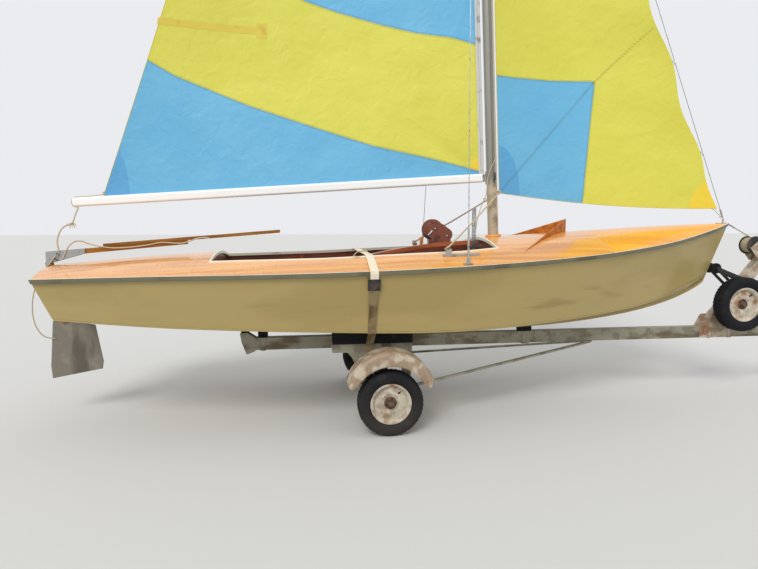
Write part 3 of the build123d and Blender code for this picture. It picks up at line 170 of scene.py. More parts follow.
def finishMaterial(tree, shader, place, colour, rough, spread, relief, grainScale=60.0, height=None,
                   **constants):
    wear = useGroup(tree, fineWear, place, Scale=grainScale, Base=rough, Spread=spread)
    bump = addNode(tree, "ShaderNodeBump", {"Height": height or wear["Height"], "Distance": relief})
    tree.links.new(colour, shader.inputs["Base Color"])
    tree.links.new(wear["Roughness"], shader.inputs["Roughness"])
    tree.links.new(bump.outputs[0], shader.inputs["Normal"])
    for key, value in constants.items():
        shader.inputs[key.replace("_", " ")].default_value = value


def stained(tree, place, below, stain, amount, scale, stretch=(1, 1, 1)):  # one more layer of marks
    mask = useGroup(tree, weathering, stretchBy(tree, place, stretch), Scale=scale, Amount=amount)[0]
    return mixColour(tree, mask, below, tint(*stain))


def coated(name, base, stain, amount, scale, stretch=(1, 1, 1), grime=None, dust=0.0, rough=0.4,
           relief=0.0003, **constants):  # paint, metal or rubber with its stains and road dust
    material, tree, shader, place = startMaterial(name)
    colour = tint(*base)
    if grime:  # a softer layer under the stains: its colour, amount and scale
        colour = stained(tree, place, colour, *grime)
    colour = stained(tree, place, colour, stain, amount, scale, stretch)
    if dust:
        veil = maths(tree, "MULTIPLY", useGroup(tree, roadDust, place)[0], dust)
        colour = mixColour(tree, veil, colour, tint(134, 122, 102))
    finishMaterial(tree, shader, place, colour, rough, 0.15, relief, **constants)
    return material


def timber(name, light, dark, fineness, rough=0.3, relief=0.0004, **constants):
    material, tree, shader, place = startMaterial(name)
    grain = useGroup(tree, woodGrain, place, Light=tint(*light), Dark=tint(*dark), Fineness=fineness)
    finishMaterial(tree, shader, place, grain["Color"], rough, 0.2, relief, height=grain["Height"],
                   **constants)
    return material


# Materials, each named for what it is on
# painted shade and reflection: the cream paint's base, grime and stain tones are set darker and more olive,
# as the hull side looks in shade beside the grass
hullPaint = coated("hullPaint", (168, 148, 92), (148, 127, 74), 0.2, 3.4, (0.3, 1, 2.6),
                   grime=((159, 139, 83), 0.5, 1.6, (0.4, 1, 1.4)), rough=0.34, Coat_Weight=0.2)
deckVarnish = timber("deckVarnish", (240, 172, 84), (216, 138, 56), 2.2, relief=0.0001, Coat_Weight=0.6)
foredeckVarnish = timber("foredeckVarnish", (246, 176, 52), (228, 148, 40), 2.0, relief=0.0001,
                         Coat_Weight=0.45)
splashVarnish = timber("splashVarnish", (196, 118, 36), (150, 82, 26), 3.4, rough=0.5, relief=0.0002,
                       Specular_IOR_Level=0.2)
capVarnish = timber("capVarnish", (176, 92, 42), (124, 58, 28), 3.4, rough=0.34, relief=0.0002,
                    Coat_Weight=0.3)
insideVarnish = timber("insideVarnish", (136, 62, 30), (78, 32, 18), 3.2, rough=0.42, Coat_Weight=0.25)
tillerVarnish = timber("tillerVarnish", (160, 108, 44), (116, 72, 30), 4.0, rough=0.6,
                       Specular_IOR_Level=0.15)
trimWhite = coated("trimWhite", (232, 224, 200), (182, 160, 120), 0.24, 6.0, rough=0.34, Coat_Weight=0.3)
boomWhite = coated("boomWhite", (236, 236, 233), (186, 178, 164), 0.22, 4.0, (0.2, 1, 1), rough=0.28,
                   Coat_Weight=0.4)
fittingSteel = coated("fittingSteel", (176, 176, 174), (104, 92, 78), 0.3, 30.0, rough=0.3, Metallic=1.0)
dullAlloy = coated("dullAlloy", (170, 168, 160), (120, 112, 100), 0.35, 16.0, rough=0.45, Metallic=0.6)
bladePlate = coated("bladePlate", (120, 114, 102), (92, 84, 74), 0.4, 5.0, (1.6, 1, 0.35), rough=0.55,
                    Metallic=0.2, grime=((134, 126, 112), 0.45, 9.0))
winchMaroon = coated("winchMaroon", (120, 60, 38), (80, 40, 28), 0.38, 18.0, rough=0.38, Coat_Weight=0.15)
galvanised = coated("galvanised", (146, 142, 124), (100, 88, 66), 0.4, 6.0, (0.5, 1, 1.4), dust=0.25,
                    rough=0.5, Metallic=0.3, grime=((124, 118, 98), 0.5, 14.0))
trailerPaint = coated("trailerPaint", (182, 169, 148), (126, 86, 58), 0.36, 8.0, dust=0.2, rough=0.5,
                      grime=((148, 127, 104), 0.66, 15.0))
rimPaint = coated("rimPaint", (190, 180, 162), (152, 104, 62), 0.3, 12.0, dust=0.15, rough=0.46,
                  grime=((156, 142, 122), 0.55, 20.0))
hubRust = coated("hubRust", (96, 74, 56), (58, 44, 36), 0.5, 40.0, rough=0.7, relief=0.0008)
blackSteel = coated("blackSteel", (30, 30, 31), (70, 56, 46), 0.3, 14.0, rough=0.42)
blackRubber = coated("blackRubber", (18, 18, 19), (40, 37, 34), 0.3, 12.0, rough=0.8, relief=0.0006,
                     Specular_IOR_Level=0.25)
tyreRubber = coated("tyreRubber", (19, 20, 25), (36, 34, 32), 0.34, 9.0, dust=0.1, rough=0.78, relief=0.0007,
                    Specular_IOR_Level=0.25)
stitchThread = coated("stitchThread", (38, 36, 34), (70, 66, 60), 0.2, 80.0, rough=0.8)
luffTapeCloth = coated("luffTapeCloth", (196, 196, 190), (140, 138, 128), 0.3, 14.0, rough=0.75,
                       grainScale=300.0)
redCord = coated("redCord", (176, 70, 40), (120, 46, 30), 0.3, 60.0, rough=0.8, grainScale=300.0)
orangeVarnish = timber("orangeVarnish", (214, 128, 48), (180, 96, 34), 4.0, rough=0.4, relief=0.0002)

railPaint, tree, shader, place = startMaterial("railPaint")  # painted light: white on top where the light falls, and painted shade in grey-green on its face
litTopMask = smoothBand(tree, fieldOf(tree, "facesUp"), 0.45, 0.75)
# painted shade: the face's grey-green stands for the rail's shaded side, with stains over it
face = stained(tree, place, tint(98, 95, 70), (78, 75, 54), 0.4, 4.0)
finishMaterial(tree, shader, place, mixColour(tree, litTopMask, face, tint(238, 236, 230)),
               0.4, 0.15, 0.0003, Coat_Weight=0.2)

tieWebbing, tree, shader, place = startMaterial("tieWebbing")  # clean on deck; down the side it is painted darker and browner as painted shade, with stains over it
unshadedDeckMask = smoothBand(tree, axesOf(tree, place)[2], 0.90, 0.99)
weave = addNode(tree, "ShaderNodeTexWave", {"Vector": place, "Scale": 90.0, "Distortion": 0.6}).outputs[1]
# painted shade: below this height the strap gets a darker shaded colour, and stains are added on top
shadeAndGrime = stained(tree, place, tint(138, 118, 84), (98, 76, 48), 0.45, 7.0)
finishMaterial(tree, shader, place, mixColour(tree, unshadedDeckMask, shadeAndGrime, tint(238, 226, 200)), 0.85, 0.1, 0.0007,
               height=weave)

mastLine = {"x": 0.091, "z": 1.241, "rake": 0.04716, "half": 0.039}
mastLook = {"joint": 0.14953, "jointHalf": 0.0016, "front": (0.016, 0.024), "chalk": (1.56, 1.64)}
mastAlloy, tree, shader, place = startMaterial("mastAlloy")  # a dark joint line runs up the extrusion's side
spot = axesOf(tree, place)
raked = maths(tree, "ADD", spot[0], maths(tree, "MULTIPLY", spot[2], mastLine["rake"]))
ahead = maths(tree, "SUBTRACT", raked, mastLook["joint"])
groove = maths(tree, "LESS_THAN", maths(tree, "ABSOLUTE", ahead), mastLook["jointHalf"])
streaks = cloudy(tree, stretchBy(tree, place, (14.0, 14.0, 0.5)), 3.0)
drawn = mixColour(tree, streaks, tint(124, 122, 113), tint(156, 154, 145))
# painted highlight: the front of the mast is painted lighter, where it faces the light
drawn = mixColour(tree, smoothBand(tree, ahead, *mastLook["front"]), drawn, tint(184, 183, 177))
drawn = mixColour(tree, groove, drawn, tint(58, 56, 54))
chalky = stained(tree, place, tint(188, 174, 150), (150, 132, 108), 0.4, 12.0)  # below the boom
drawn = mixColour(tree, smoothBand(tree, spot[2], *mastLook["chalk"]), chalky, drawn)
finishMaterial(tree, shader, place, drawn, 0.4, 0.16, 0.0002, Metallic=0.45)

laidRope, tree, shader, place = startMaterial("laidRope")  # strands turn round the cord's own UV
strand = axesOf(tree, addNode(tree, "ShaderNodeTexCoord").outputs["UV"])
turned = maths(tree, "ADD", maths(tree, "MULTIPLY", strand[0], 90.0), maths(tree, "MULTIPLY", strand[1], 3.0))
lay = maths(tree, "PINGPONG", turned, 0.5)
finishMaterial(tree, shader, place, mixColour(tree, lay, tint(168, 154, 122), tint(232, 218, 186)),
               0.8, 0.1, 0.0009, height=lay)


def sailcloth(name, look):  # panels, patches and seams come from the sail's own attributes, folds from its UV
    material, tree, shader, place = startMaterial(name)
    across = addNode(tree, "ShaderNodeTexCoord").outputs["UV"]
    field, seams, patches = [fieldOf(tree, label) for label in ("blueField", "seamField", "patchField")]
    # painted shade: cloudy patches mix the cloth's lit colour with its shaded one
    cloudyShade = cloudy(tree, across, 3.0, 6.0)
    yellow = mixColour(tree, cloudyShade, tint(*look["yellowShade"]), tint(*look["yellow"]))
    blue = mixColour(tree, cloudyShade, tint(*look["blueShade"]), tint(*look["blue"]))
    # the corner patches are sewn on; their darker, deeper colours are painted shade of the doubled cloth
    # against the light
    isPatch = maths(tree, "GREATER_THAN", patches, 0.0)
    yellow = mixColour(tree, isPatch, yellow, tint(*look["yellowPatch"]))
    blue = mixColour(tree, isPatch, blue, tint(*look["bluePatch"]))
    colour = mixColour(tree, maths(tree, "GREATER_THAN", field, 0.0), yellow, blue)
    shadedOverlap = maths(tree, "LESS_THAN", seams, look["shadedOverlap"])  # painted shade: where two layers of cloth overlap at a seam, less light comes through, so the band is painted darker
    colour = mixColour(tree, maths(tree, "MULTIPLY", shadedOverlap, 0.25), colour, tint(70, 92, 60))
    threadLine = maths(tree, "LESS_THAN", seams, look["threadHalf"])
    colour = mixColour(tree, maths(tree, "MULTIPLY", threadLine, 0.5), colour, tint(74, 78, 40))
    crinkle = addNode(tree, "ShaderNodeTexNoise", {"Vector": across, "Scale": look["crinkleScale"],
                                                   "Detail": 7.0, "Distortion": 1.2}).outputs[0]
    weave = addNode(tree, "ShaderNodeTexChecker", {"Vector": across, "Scale": 260.0}).outputs[1]
    height = maths(tree, "ADD", crinkle, maths(tree, "MULTIPLY", weave, 0.03))
    finishMaterial(tree, shader, across, colour, 0.46, 0.2, look["crinkle"], height=height)
    return material


clothLook = {"yellow": (212, 208, 82), "yellowShade": (199, 194, 64), "blue": (108, 180, 212),
             "blueShade": (84, 160, 204), "yellowPatch": (228, 198, 50), "bluePatch": (82, 156, 202),
             "shadedOverlap": 0.011, "threadHalf": 0.0022, "crinkle": 0.006, "crinkleScale": 11.0}
mainCloth = sailcloth("mainCloth", clothLook)
jibCloth = sailcloth("jibCloth", clothLook)
# painted shade: a darker yellow, as doubled cloth looks against the light
shadedPatchYellow = coated("shadedPatchYellow", (206, 186, 66), (178, 156, 52), 0.3, 8.0, rough=0.6, grainScale=200.0)
print("materials made:", len(bpy.data.materials))


# Mesh helpers
def meshPiece(name, points, faces, edges=()):
    mesh = bpy.data.meshes.new(name)
    mesh.from_pydata([tuple(p) for p in points], edges, faces)
    mesh.update()
    piece = bpy.data.objects.new(name, mesh)
    scene.collection.objects.link(piece)
    return piece


def turnOutward(piece):
    shape = bmesh.new()
    shape.from_mesh(piece.data)
    bmesh.ops.recalc_face_normals(shape, faces=shape.faces)
    shape.to_mesh(piece.data)
    shape.free()


def bake(piece):  # the modifiers' result becomes the piece's own mesh
    graph = bpy.context.evaluated_depsgraph_get()
    mesh = bpy.data.meshes.new_from_object(piece.evaluated_get(graph))
    piece.modifiers.clear()
    piece.data = mesh


def thicken(piece, thickness, offset=0):
    skin = piece.modifiers.new("skin", "SOLIDIFY")
    skin.thickness = thickness
    skin.offset = offset
    bake(piece)


def gridFaces(columns, rows, start=0):
    corners = [start + j * (columns + 1) + i for j in range(rows) for i in range(columns)]
    return [(n, n + 1, n + columns + 2, n + columns + 1) for n in corners]


def loft(name, rings):  # a skin over rings of one size, closed at both ends
    count, last = len(rings[0]), len(rings) - 1
    faces = [(r * count + k, r * count + (k + 1) % count, (r + 1) * count + (k + 1) % count,
              (r + 1) * count + k) for r in range(last) for k in range(count)]
    faces += [tuple(range(count)), tuple(range(last * count, (last + 1) * count))]
    piece = meshPiece(name, [point for ring in rings for point in ring], faces)
    turnOutward(piece)
    return piece


def arcPoints(centre, radius, first, last, count=14):  # angles in degrees
    turns = [math.radians(first + (last - first) * k / count) for k in range(count + 1)]
    return [(centre[0] + radius * math.cos(a), centre[1] + radius * math.sin(a)) for a in turns]


def roundEdges(piece, width):
    angle = 32
    piece.data.shade_smooth()
    if width:
        rounding = piece.modifiers.new("rounding", "BEVEL")
        rounding.width = width
        rounding.segments = 2
        rounding.limit_method = "ANGLE"
        rounding.angle_limit = math.radians(angle)
    else:
        piece.data.set_sharp_from_angle(angle=math.radians(angle))
    weighted = piece.modifiers.new("evenShading", "WEIGHTED_NORMAL")
    weighted.weight = 70
    weighted.keep_sharp = True
    bake(piece)


def settle(piece, material, body, slotName, *standsFor, angle=32):
    piece.data.materials.clear()
    piece.data.materials.append(material)
    if piece.type == "MESH" and angle:
        piece.data.shade_smooth()
        piece.data.set_sharp_from_angle(angle=math.radians(angle))
    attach(piece, body)
    if standsFor:
        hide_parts(*standsFor)
    return piece


def dress(node, material, bevel):  # a merged copy of a CAD node with softened edges
    shape = bmesh.new()
    shape.from_mesh(nodes[node].data)
    bmesh.ops.remove_doubles(shape, verts=shape.verts, dist=1e-5)
    bmesh.ops.dissolve_limit(shape, angle_limit=math.radians(0.05), verts=shape.verts, edges=shape.edges)
    shape.verts.index_update()
    faces = [[v.index for v in f.verts] for f in shape.faces]
    piece = meshPiece(node + "_dressed", [v.co for v in shape.verts], faces)
    shape.free()
    roundEdges(piece, bevel)
    upness = piece.data.attributes.new("facesUp", "FLOAT", "FACE")
    for value, polygon in zip(upness.data, piece.data.polygons):
        value.value = polygon.normal.z
    slotName = "stainless" if material == fittingSteel else slotOf[node]
    return settle(piece, material, bodyOf[node], slotName, node, angle=None)


def between(before, a, b, beyond, t):  # on a smooth curve that is at a for t 0 and at b for t 1
    return 0.5 * (2 * a + (b - before) * t + (2 * before - 5 * a + 4 * b - beyond) * t * t
                  + (3 * a - before - 3 * b + beyond) * t ** 3)


def lineThrough(points, step=0.012):  # a smooth line through given points
    guide = [Vector(p) for p in points]
    guide = [2 * guide[0] - guide[1], *guide, 2 * guide[-1] - guide[-2]]
    line = []
    for before, a, b, beyond in zip(guide, guide[1:], guide[2:], guide[3:]):
        count = max(2, int((b - a).length / step))
        line += [between(before, a, b, beyond, k / count) for k in range(count)]
    return line + [guide[-2]]


def tubePiece(name, lines, radius, sides=10):  # round tubes along lines, with UV along and around
    points, faces, marks = [], [], []
    for line in lines:
        start, side, run = len(points), None, 0.0
        for i, point in enumerate(line):
            ahead = (line[min(i + 1, len(line) - 1)] - line[max(i - 1, 0)]).normalized()
            side = ahead.orthogonal() if side is None else side
            side = (side - ahead * side.dot(ahead)).normalized()
            up = ahead.cross(side)
            turns = [2 * math.pi * k / sides for k in range(sides)]
            points += [point + (side * math.cos(a) + up * math.sin(a)) * radius for a in turns]
            if i:
                step = (point - line[i - 1]).length
                for k in range(sides):
                    near, far = start + (i - 1) * sides, start + i * sides
                    faces.append((near + k, near + (k + 1) % sides, far + (k + 1) % sides, far + k))
                    marks += [(run, k / sides), (run, (k + 1) / sides),
                              (run + step, (k + 1) / sides), (run + step, k / sides)]
                run += step
        for ring in (start, len(points) - sides):
            faces.append(tuple(ring + k for k in range(sides)))
            marks += [(0.0, 0.0)] * sides
    piece = meshPiece(name, points, faces)
    layer = piece.data.uv_layers.new(name="UVMap")
    for loop, mark in zip(layer.data, marks):
        loop.uv = mark
    turnOutward(piece)
    return piece


def boxes(name, corners, bevel=0.001):  # softened blocks, each from its low and high corner
    points, faces = [], []
    for (x0, y0, z0), (x1, y1, z1) in corners:
        n = len(points)
        points += [(x, y, z) for z in (z0, z1) for y in (y0, y1) for x in (x0, x1)]
        faces += [tuple(n + k for k in quad) for quad in (
            (0, 2, 3, 1), (4, 5, 7, 6), (0, 1, 5, 4), (2, 6, 7, 3), (0, 4, 6, 2), (1, 3, 7, 5))]
    piece = meshPiece(name, points, faces)
    roundEdges(piece, bevel)
    return piece


def spunPiece(name, profile, centre, outward, segments, shape=None):  # turns (along, radius) about Y
    points = []
    for i in range(segments):
        angle = 2 * math.pi * i / segments
        for along, radius in profile:
            r = shape(i, along, radius) if shape else radius
            points.append((centre[0] + r * math.cos(angle), centre[1] + outward * along,
                           centre[2] + r * math.sin(angle)))
    count = len(profile)
    faces = [(i * count + k, i * count + (k + 1) % count, (i + 1) % segments * count + (k + 1) % count,
              (i + 1) % segments * count + k) for i in range(segments) for k in range(count)]
    piece = meshPiece(name, points, faces)
    turnOutward(piece)
    return piece


# One node tree repeats an item along a path: stitches, screws, bolts, nuts and hanks
repeatTree = bpy.data.node_groups.new("repeatAlong", "GeometryNodeTree")
socketOf = {}
for label, kind, default in (("Path", "Geometry", None), ("Item", "Object", None), ("Spacing", "Float", 0.1),
                             ("Facing", "Vector", (0.0, -1.0, 0.0)), ("Size", "Float", 1.0),
                             ("Wobble", "Float", 0.0), ("Finish", "Material", None)):
    socket = repeatTree.interface.new_socket(label, in_out="INPUT", socket_type="NodeSocket" + kind)
    if default is not None:
        socket.default_value = default
    socketOf[label] = socket.identifier
repeatTree.interface.new_socket("Pieces", in_out="OUTPUT", socket_type="NodeSocketGeometry")
given = repeatTree.nodes.new("NodeGroupInput").outputs
curve = addNode(repeatTree, "GeometryNodeMeshToCurve", {0: given["Path"]}).outputs[0]
evened = addNode(repeatTree, "GeometryNodeResampleCurve", {"Curve": curve, "Length": given["Spacing"]},
                 mode="LENGTH")
item = addNode(repeatTree, "GeometryNodeObjectInfo", {"Object": given["Item"]}).outputs["Geometry"]
facing = addNode(repeatTree, "FunctionNodeAlignRotationToVector", {"Vector": given["Facing"]},
                 axis="Z").outputs[0]
tangent = repeatTree.nodes.new("GeometryNodeInputTangent").outputs[0]
laid = addNode(repeatTree, "FunctionNodeAlignRotationToVector", {"Rotation": facing, "Vector": tangent},
               axis="X", pivot_axis="Z").outputs[0]
chance = addNode(repeatTree, "FunctionNodeRandomValue", {"Seed": 7}, data_type="FLOAT").outputs[1]
scale = maths(repeatTree, "ADD", given["Size"], maths(repeatTree, "MULTIPLY", chance, given["Wobble"]))
placed = addNode(repeatTree, "GeometryNodeInstanceOnPoints",
                 {"Points": evened.outputs[0], "Instance": item, "Rotation": laid, "Scale": scale}).outputs[0]
real = addNode(repeatTree, "GeometryNodeRealizeInstances", {0: placed}).outputs[0]
finished = addNode(repeatTree, "GeometryNodeSetMaterial",
                   {"Geometry": real, "Material": given["Finish"]}).outputs[0]
repeatTree.links.new(finished, repeatTree.nodes.new("NodeGroupOutput").inputs[0])


def repeatAlong(name, path, item, spacing, facing, material, body, slotName, size=1.0, closed=False,
                wobble=0.0):
    edges = [(i, i + 1) for i in range(len(path) - 1)] + ([(len(path) - 1, 0)] if closed else [])
    piece = meshPiece(name, path, [], edges)
    repeat = piece.modifiers.new("repeatAlong", "NODES")
    repeat.node_group = repeatTree
    for label, value in (("Item", item), ("Spacing", spacing), ("Facing", facing), ("Size", size),
                         ("Wobble", wobble), ("Finish", material)):
        repeat[socketOf[label]] = value
    bake(piece)
    return settle(piece, material, body, slotName)


def hidden(piece):  # an item that the node tree repeats isn't shown by itself
    scene.collection.objects.unlink(piece)
    return piece


def prismItem(name, radius, height, sides):
    turns = [2 * math.pi * k / sides for k in range(sides)]
    steps = [(1.0, 0.0), (0.98, 0.75), (0.72, 1.0)]  # share of the radius, share of the height
    return hidden(loft(name, [[(radius * size * math.cos(a), radius * size * math.sin(a), height * up)
                               for a in turns] for size, up in steps]))


screwHead = prismItem("screwHead", 0.0042, 0.0016, 10)
wheelNut = prismItem("wheelNut", 0.0095, 0.011, 6)
smallBolt = prismItem("smallBolt", 0.0065, 0.005, 6)
stitch = hidden(meshPiece("zigzagStitch", [
    (-0.005, -0.004, 0), (-0.0042, -0.0046, 0), (0.0008, 0.004, 0), (0, 0.0046, 0), (0.005, -0.004, 0),
    (0.0042, -0.0046, 0)], [(0, 1, 2, 3), (3, 2, 4, 5)]))
print("repeating items made")

# CAD nodes, softened and painted
softened = [
    (hullPaint, 0.0016, "side_planking_port side_planking_starboard bottom_planking transom"),
    (hullPaint, 0.0016, "stem keel_batten"),
    (deckVarnish, 0.0008, "aft_deck main_deck mast_collar"),
    (foredeckVarnish, 0.0008, "foredeck"),
    (splashVarnish, 0.0022, "splash_board"),
    (capVarnish, 0.0022, "trunk_cap"),
    (insideVarnish, 0.0012, "hull_frames carlins deck_beams floorboards centreboard_trunk"),
    (tillerVarnish, 0.003, "tiller tiller_extension rudder_stock"),
    (trimWhite, 0.0022, "cockpit_trim"),
    (railPaint, 0.003, "rub_rails"),
    (mastAlloy, 0.0, "mast"),
    (boomWhite, 0.0, "boom"),
    (dullAlloy, 0.0006, "jib_tracks boom_end_fitting centreboard"),
    (fittingSteel, 0.0005, "hull_fittings rudder_irons perforated_post winch_hook"),
    (fittingSteel, 0.0, "stays"),
    (bladePlate, 0.0012, "rudder_blade"),
    (winchMaroon, 0.0012, "board_winch"),
    (tieWebbing, 0.0005, "tie_down_strap"),
    (laidRope, 0.0, "winch_line"),
    (galvanised, 0.0016, "main_tube subframe axle"),
    (galvanised, 0.0008, "leaf_springs keel_brackets jack_body jack_leg"),
    (trailerPaint, 0.001, "winch_stand"),
    (rimPaint, 0.0, "rim_left rim_right spare_rim"),
    (blackSteel, 0.0008, "bow_stop_arms winch_reel coupler"),
    (blackRubber, 0.0015, "hull_pads keel_roller bow_stop"),
]
dressed = [dress(node, material, bevel) for material, bevel, names in softened for node in names.split()]
print("CAD nodes dressed:", len(dressed))

# Sails
stayLine = {"x": 1.936, "z": 1.342, "rake": 0.4097}


def onMast(z, ahead=0.0, y=0.0):
    return Vector((mastLine["x"] - (z - mastLine["z"]) * mastLine["rake"] + ahead, y, z))


def onStay(z, ahead=0.0, y=0.0):
    return Vector((stayLine["x"] - (z - stayLine["z"]) * stayLine["rake"] + ahead, y, z))


def rowAt(rows, t):  # every column of a sail's table on a smooth curve through its rows
    i = min(int(t), len(rows) - 2)
    s = t - i
    four = rows[max(i - 1, 0)], rows[i], rows[i + 1], rows[min(i + 2, len(rows) - 1)]
    return [between(*column, s) for column in zip(*four)]


def seamHeight(seam, x):  # seam points run from the leech to the luff
    for (ax, az), (bx, bz) in zip(seam, seam[1:]):
        if x <= bx or (bx, bz) == seam[-1]:
            return az + (bz - az) * (x - ax) / (bx - ax)


def nearLine(line, x, z):  # the distance to a line of points
    best = 1e9
    for (ax, az), (bx, bz) in zip(line, line[1:]):
        run = (bx - ax) ** 2 + (bz - az) ** 2
        share = max(0.0, min(1.0, ((x - ax) * (bx - ax) + (z - az) * (bz - az)) / run))
        best = min(best, math.hypot(x - ax - share * (bx - ax), z - az - share * (bz - az)))
    return best


def insideDistance(outline, x, z):  # positive inside a closed outline
    closed, inside = outline + outline[:1], False
    for (ax, az), (bx, bz) in zip(closed, closed[1:]):
        if (az > z) != (bz > z) and x < (bx - ax) * (z - az) / (bz - az) + ax:
            inside = not inside
    return nearLine(closed, x, z) * (1 if inside else -1)


bellyShare = 0.2436  # u * (1 - u) at 42 % of the chord, where the rows give the belly
mainSail = {
    "rows": [  # luff height, leech x and z, belly
        (1.6704, -2.613, 1.495, 0.005), (2.700, -2.240, 2.540, 0.090), (4.200, -1.705, 4.095, 0.086),
        (5.900, -1.052, 5.845, 0.052), (7.720, -0.374, 7.714, 0.004)],
    "seams": [  # blue under the first, then yellow and blue by turns
        [(-2.42, 2.45), (-2.294, 2.383), (-2.129, 2.294), (-1.644, 2.113), (-1.207, 1.979), (-0.783, 1.854),
         (-0.381, 1.772), (-0.111, 1.71), (0.03, 1.672)],
        [(-1.98, 3.30), (-1.6, 3.03), (-1.264, 2.839), (-1.045, 2.777), (-0.71, 2.695), (-0.483, 2.648),
         (-0.237, 2.618), (0.0, 2.55)],
        [(-1.66, 4.25), (-1.0, 3.92), (-0.5, 3.74), (-0.05, 3.62)],
        [(-1.28, 5.25), (-0.75, 4.98), (-0.12, 4.78)],
        [(-0.90, 6.30), (-0.18, 6.02)],
    ],
    "patches": [  # x, z, reach, squash
        (-2.613, 1.495, 0.17, 0.42), (-0.36, 7.714, 0.4, 1.0), (0.01, 1.67, 0.12, 1.0)],
    "columns": 110, "lines": 260, "cloth": 0.0009, "luffBack": 0.06104, "seamSlant": 0.92,
    "tack": (0.01, 1.67), "tackFold": 0.016, "tackReach": 0.34, "fanFrom": (0.06, 1.60), "fanFolds": 13,
    "luffFold": 0.006, "luffReach": 0.07, "luffWave": 0.33,
    "crumple": (0.007, 2.2, 0.4),  # size, scale and seed
}
jibSail = {
    "rows": [(1.425, 1.532, 0.026), (2.600, 2.680, 0.110), (4.200, 4.240, 0.090), (5.950, 5.946, 0.006)],
    "blueOutline": [(-0.2, 2.365), (0.512, 2.358), (0.889, 2.367), (0.843, 1.936), (0.776, 1.36),
                    (-0.2, 1.36)],
    "mitre": [(0.144, 1.547), (0.886, 2.362), (1.278, 2.736)],
    "patches": [(1.85, 1.40, 0.20, 0.8), (0.12, 1.53, 0.17, 0.5), (0.08, 5.95, 0.34, 1.0)],
    "columns": 100, "lines": 230, "cloth": 0.0008, "luffGap": 0.018, "leechGap": 0.014, "scallop": 0.048,
    "hankPitch": 0.66, "firstHank": 1.84, "hankPull": 0.008, "pullReach": 0.10, "footSag": 0.032,
    "crumple": (0.006, 2.6, 5.1),
}


def crumpled(point, size, scale, seed):
    return size * noise.fractal(Vector((point.x * scale, seed, point.z * scale)), 0.8, 2.1, 4)


def mainPoint(u, t):
    look = mainSail
    luffHeight, leechX, leechZ, belly = rowAt(look["rows"], t)
    point = onMast(luffHeight, -look["luffBack"]).lerp(Vector((leechX, 0, leechZ)), u)
    held = min(1.0, 6 * u, 6 * (1 - u) + 0.1, 3 * t + 0.02)
    fromTack = math.hypot(point.x - look["tack"][0], point.z - look["tack"][1])
    fan = math.atan2(point.z - look["fanFrom"][1], look["fanFrom"][0] - point.x)
    folds = look["tackFold"] * math.exp(-fromTack / look["tackReach"]) * math.sin(look["fanFolds"] * fan)
    folds += look["luffFold"] * math.exp(-u / look["luffReach"]) \
        * math.sin(2 * math.pi * point.z / look["luffWave"])
    point.y = belly * u * (1 - u) / bellyShare + held * (folds + crumpled(point, *look["crumple"]))
    return point


def jibPoint(u, t):
    look = jibSail
    luffHeight, leechHeight, belly = rowAt(look["rows"], t)
    fromHank = math.pi * (luffHeight - look["firstHank"]) / look["hankPitch"]
    ends = min(1.0, 2.5 * t + 0.1, 2.5 * (3 - t))
    luff = onStay(luffHeight, -look["luffGap"] - look["scallop"] * math.sin(fromHank) ** 2 * ends)
    point = luff.lerp(onMast(leechHeight, mastLine["half"] + look["leechGap"]), u)
    point.z -= look["footSag"] * 4 * u * (1 - u) * max(0.0, 1 - t * 5)
    pull = look["hankPull"] * math.exp(-u / look["pullReach"]) * math.cos(2 * fromHank)
    held = min(1.0, 8 * u, 8 * (1 - u))
    point.y = belly * u * (1 - u) / bellyShare + held * (crumpled(point, *look["crumple"]) + pull)
    return point


def patchAt(patches, x, z):  # how far inside a round corner patch
    return max(reach - math.hypot(x - px, (z - pz) * squash) for px, pz, reach, squash in patches)


def mainField(x, z):  # over 0 in a blue panel, the distance to a seam, and over 0 in a patch
    gaps = [mainSail["seamSlant"] * (z - seamHeight(seam, x)) for seam in mainSail["seams"]]
    nearest = min(abs(gap) for gap in gaps)
    blue = nearest if sum(gap > 0 for gap in gaps) % 2 == 0 else -nearest
    return blue, nearest, patchAt(mainSail["patches"], x, z)


def jibField(x, z):
    blue = insideDistance(jibSail["blueOutline"], x, z)
    return blue, min(abs(blue), nearLine(jibSail["mitre"], x, z)), patchAt(jibSail["patches"], x, z)


def sailPiece(name, pointAt, sail, field):
    columns, lines, top = sail["columns"], sail["lines"], len(sail["rows"]) - 1
    points = [pointAt(i / columns, top * j / lines) for j in range(lines + 1) for i in range(columns + 1)]
    piece = meshPiece(name, points, gridFaces(columns, lines))
    area = sum(face.area for face in piece.data.polygons)
    fields = [field(point.x, point.z) for point in points]
    for column, label in enumerate(("blueField", "seamField", "patchField")):
        layer = piece.data.attributes.new(label, "FLOAT", "POINT")
        layer.data.foreach_set("value", [row[column] for row in fields])
    layer = piece.data.uv_layers.new(name="UVMap")
    for loop in piece.data.loops:
        point = points[loop.vertex_index]
        layer.data[loop.index].uv = (point.x, point.z)
    thicken(piece, sail["cloth"])
    return piece, area


def surfaceY(x, z):  # the mainsail's place across the boat over a point seen from the side
    low, high = 0.0, 4.0
    for _ in range(26):
        t = (low + high) / 2
        luff, leech = mainPoint(0.0, t), mainPoint(1.0, t)
        u = (x - luff.x) / (leech.x - luff.x)
        if luff.z + (leech.z - luff.z) * u < z:
            low = t
        else:
            high = t
    return mainPoint(max(0.0, min(1.0, u)), t).y


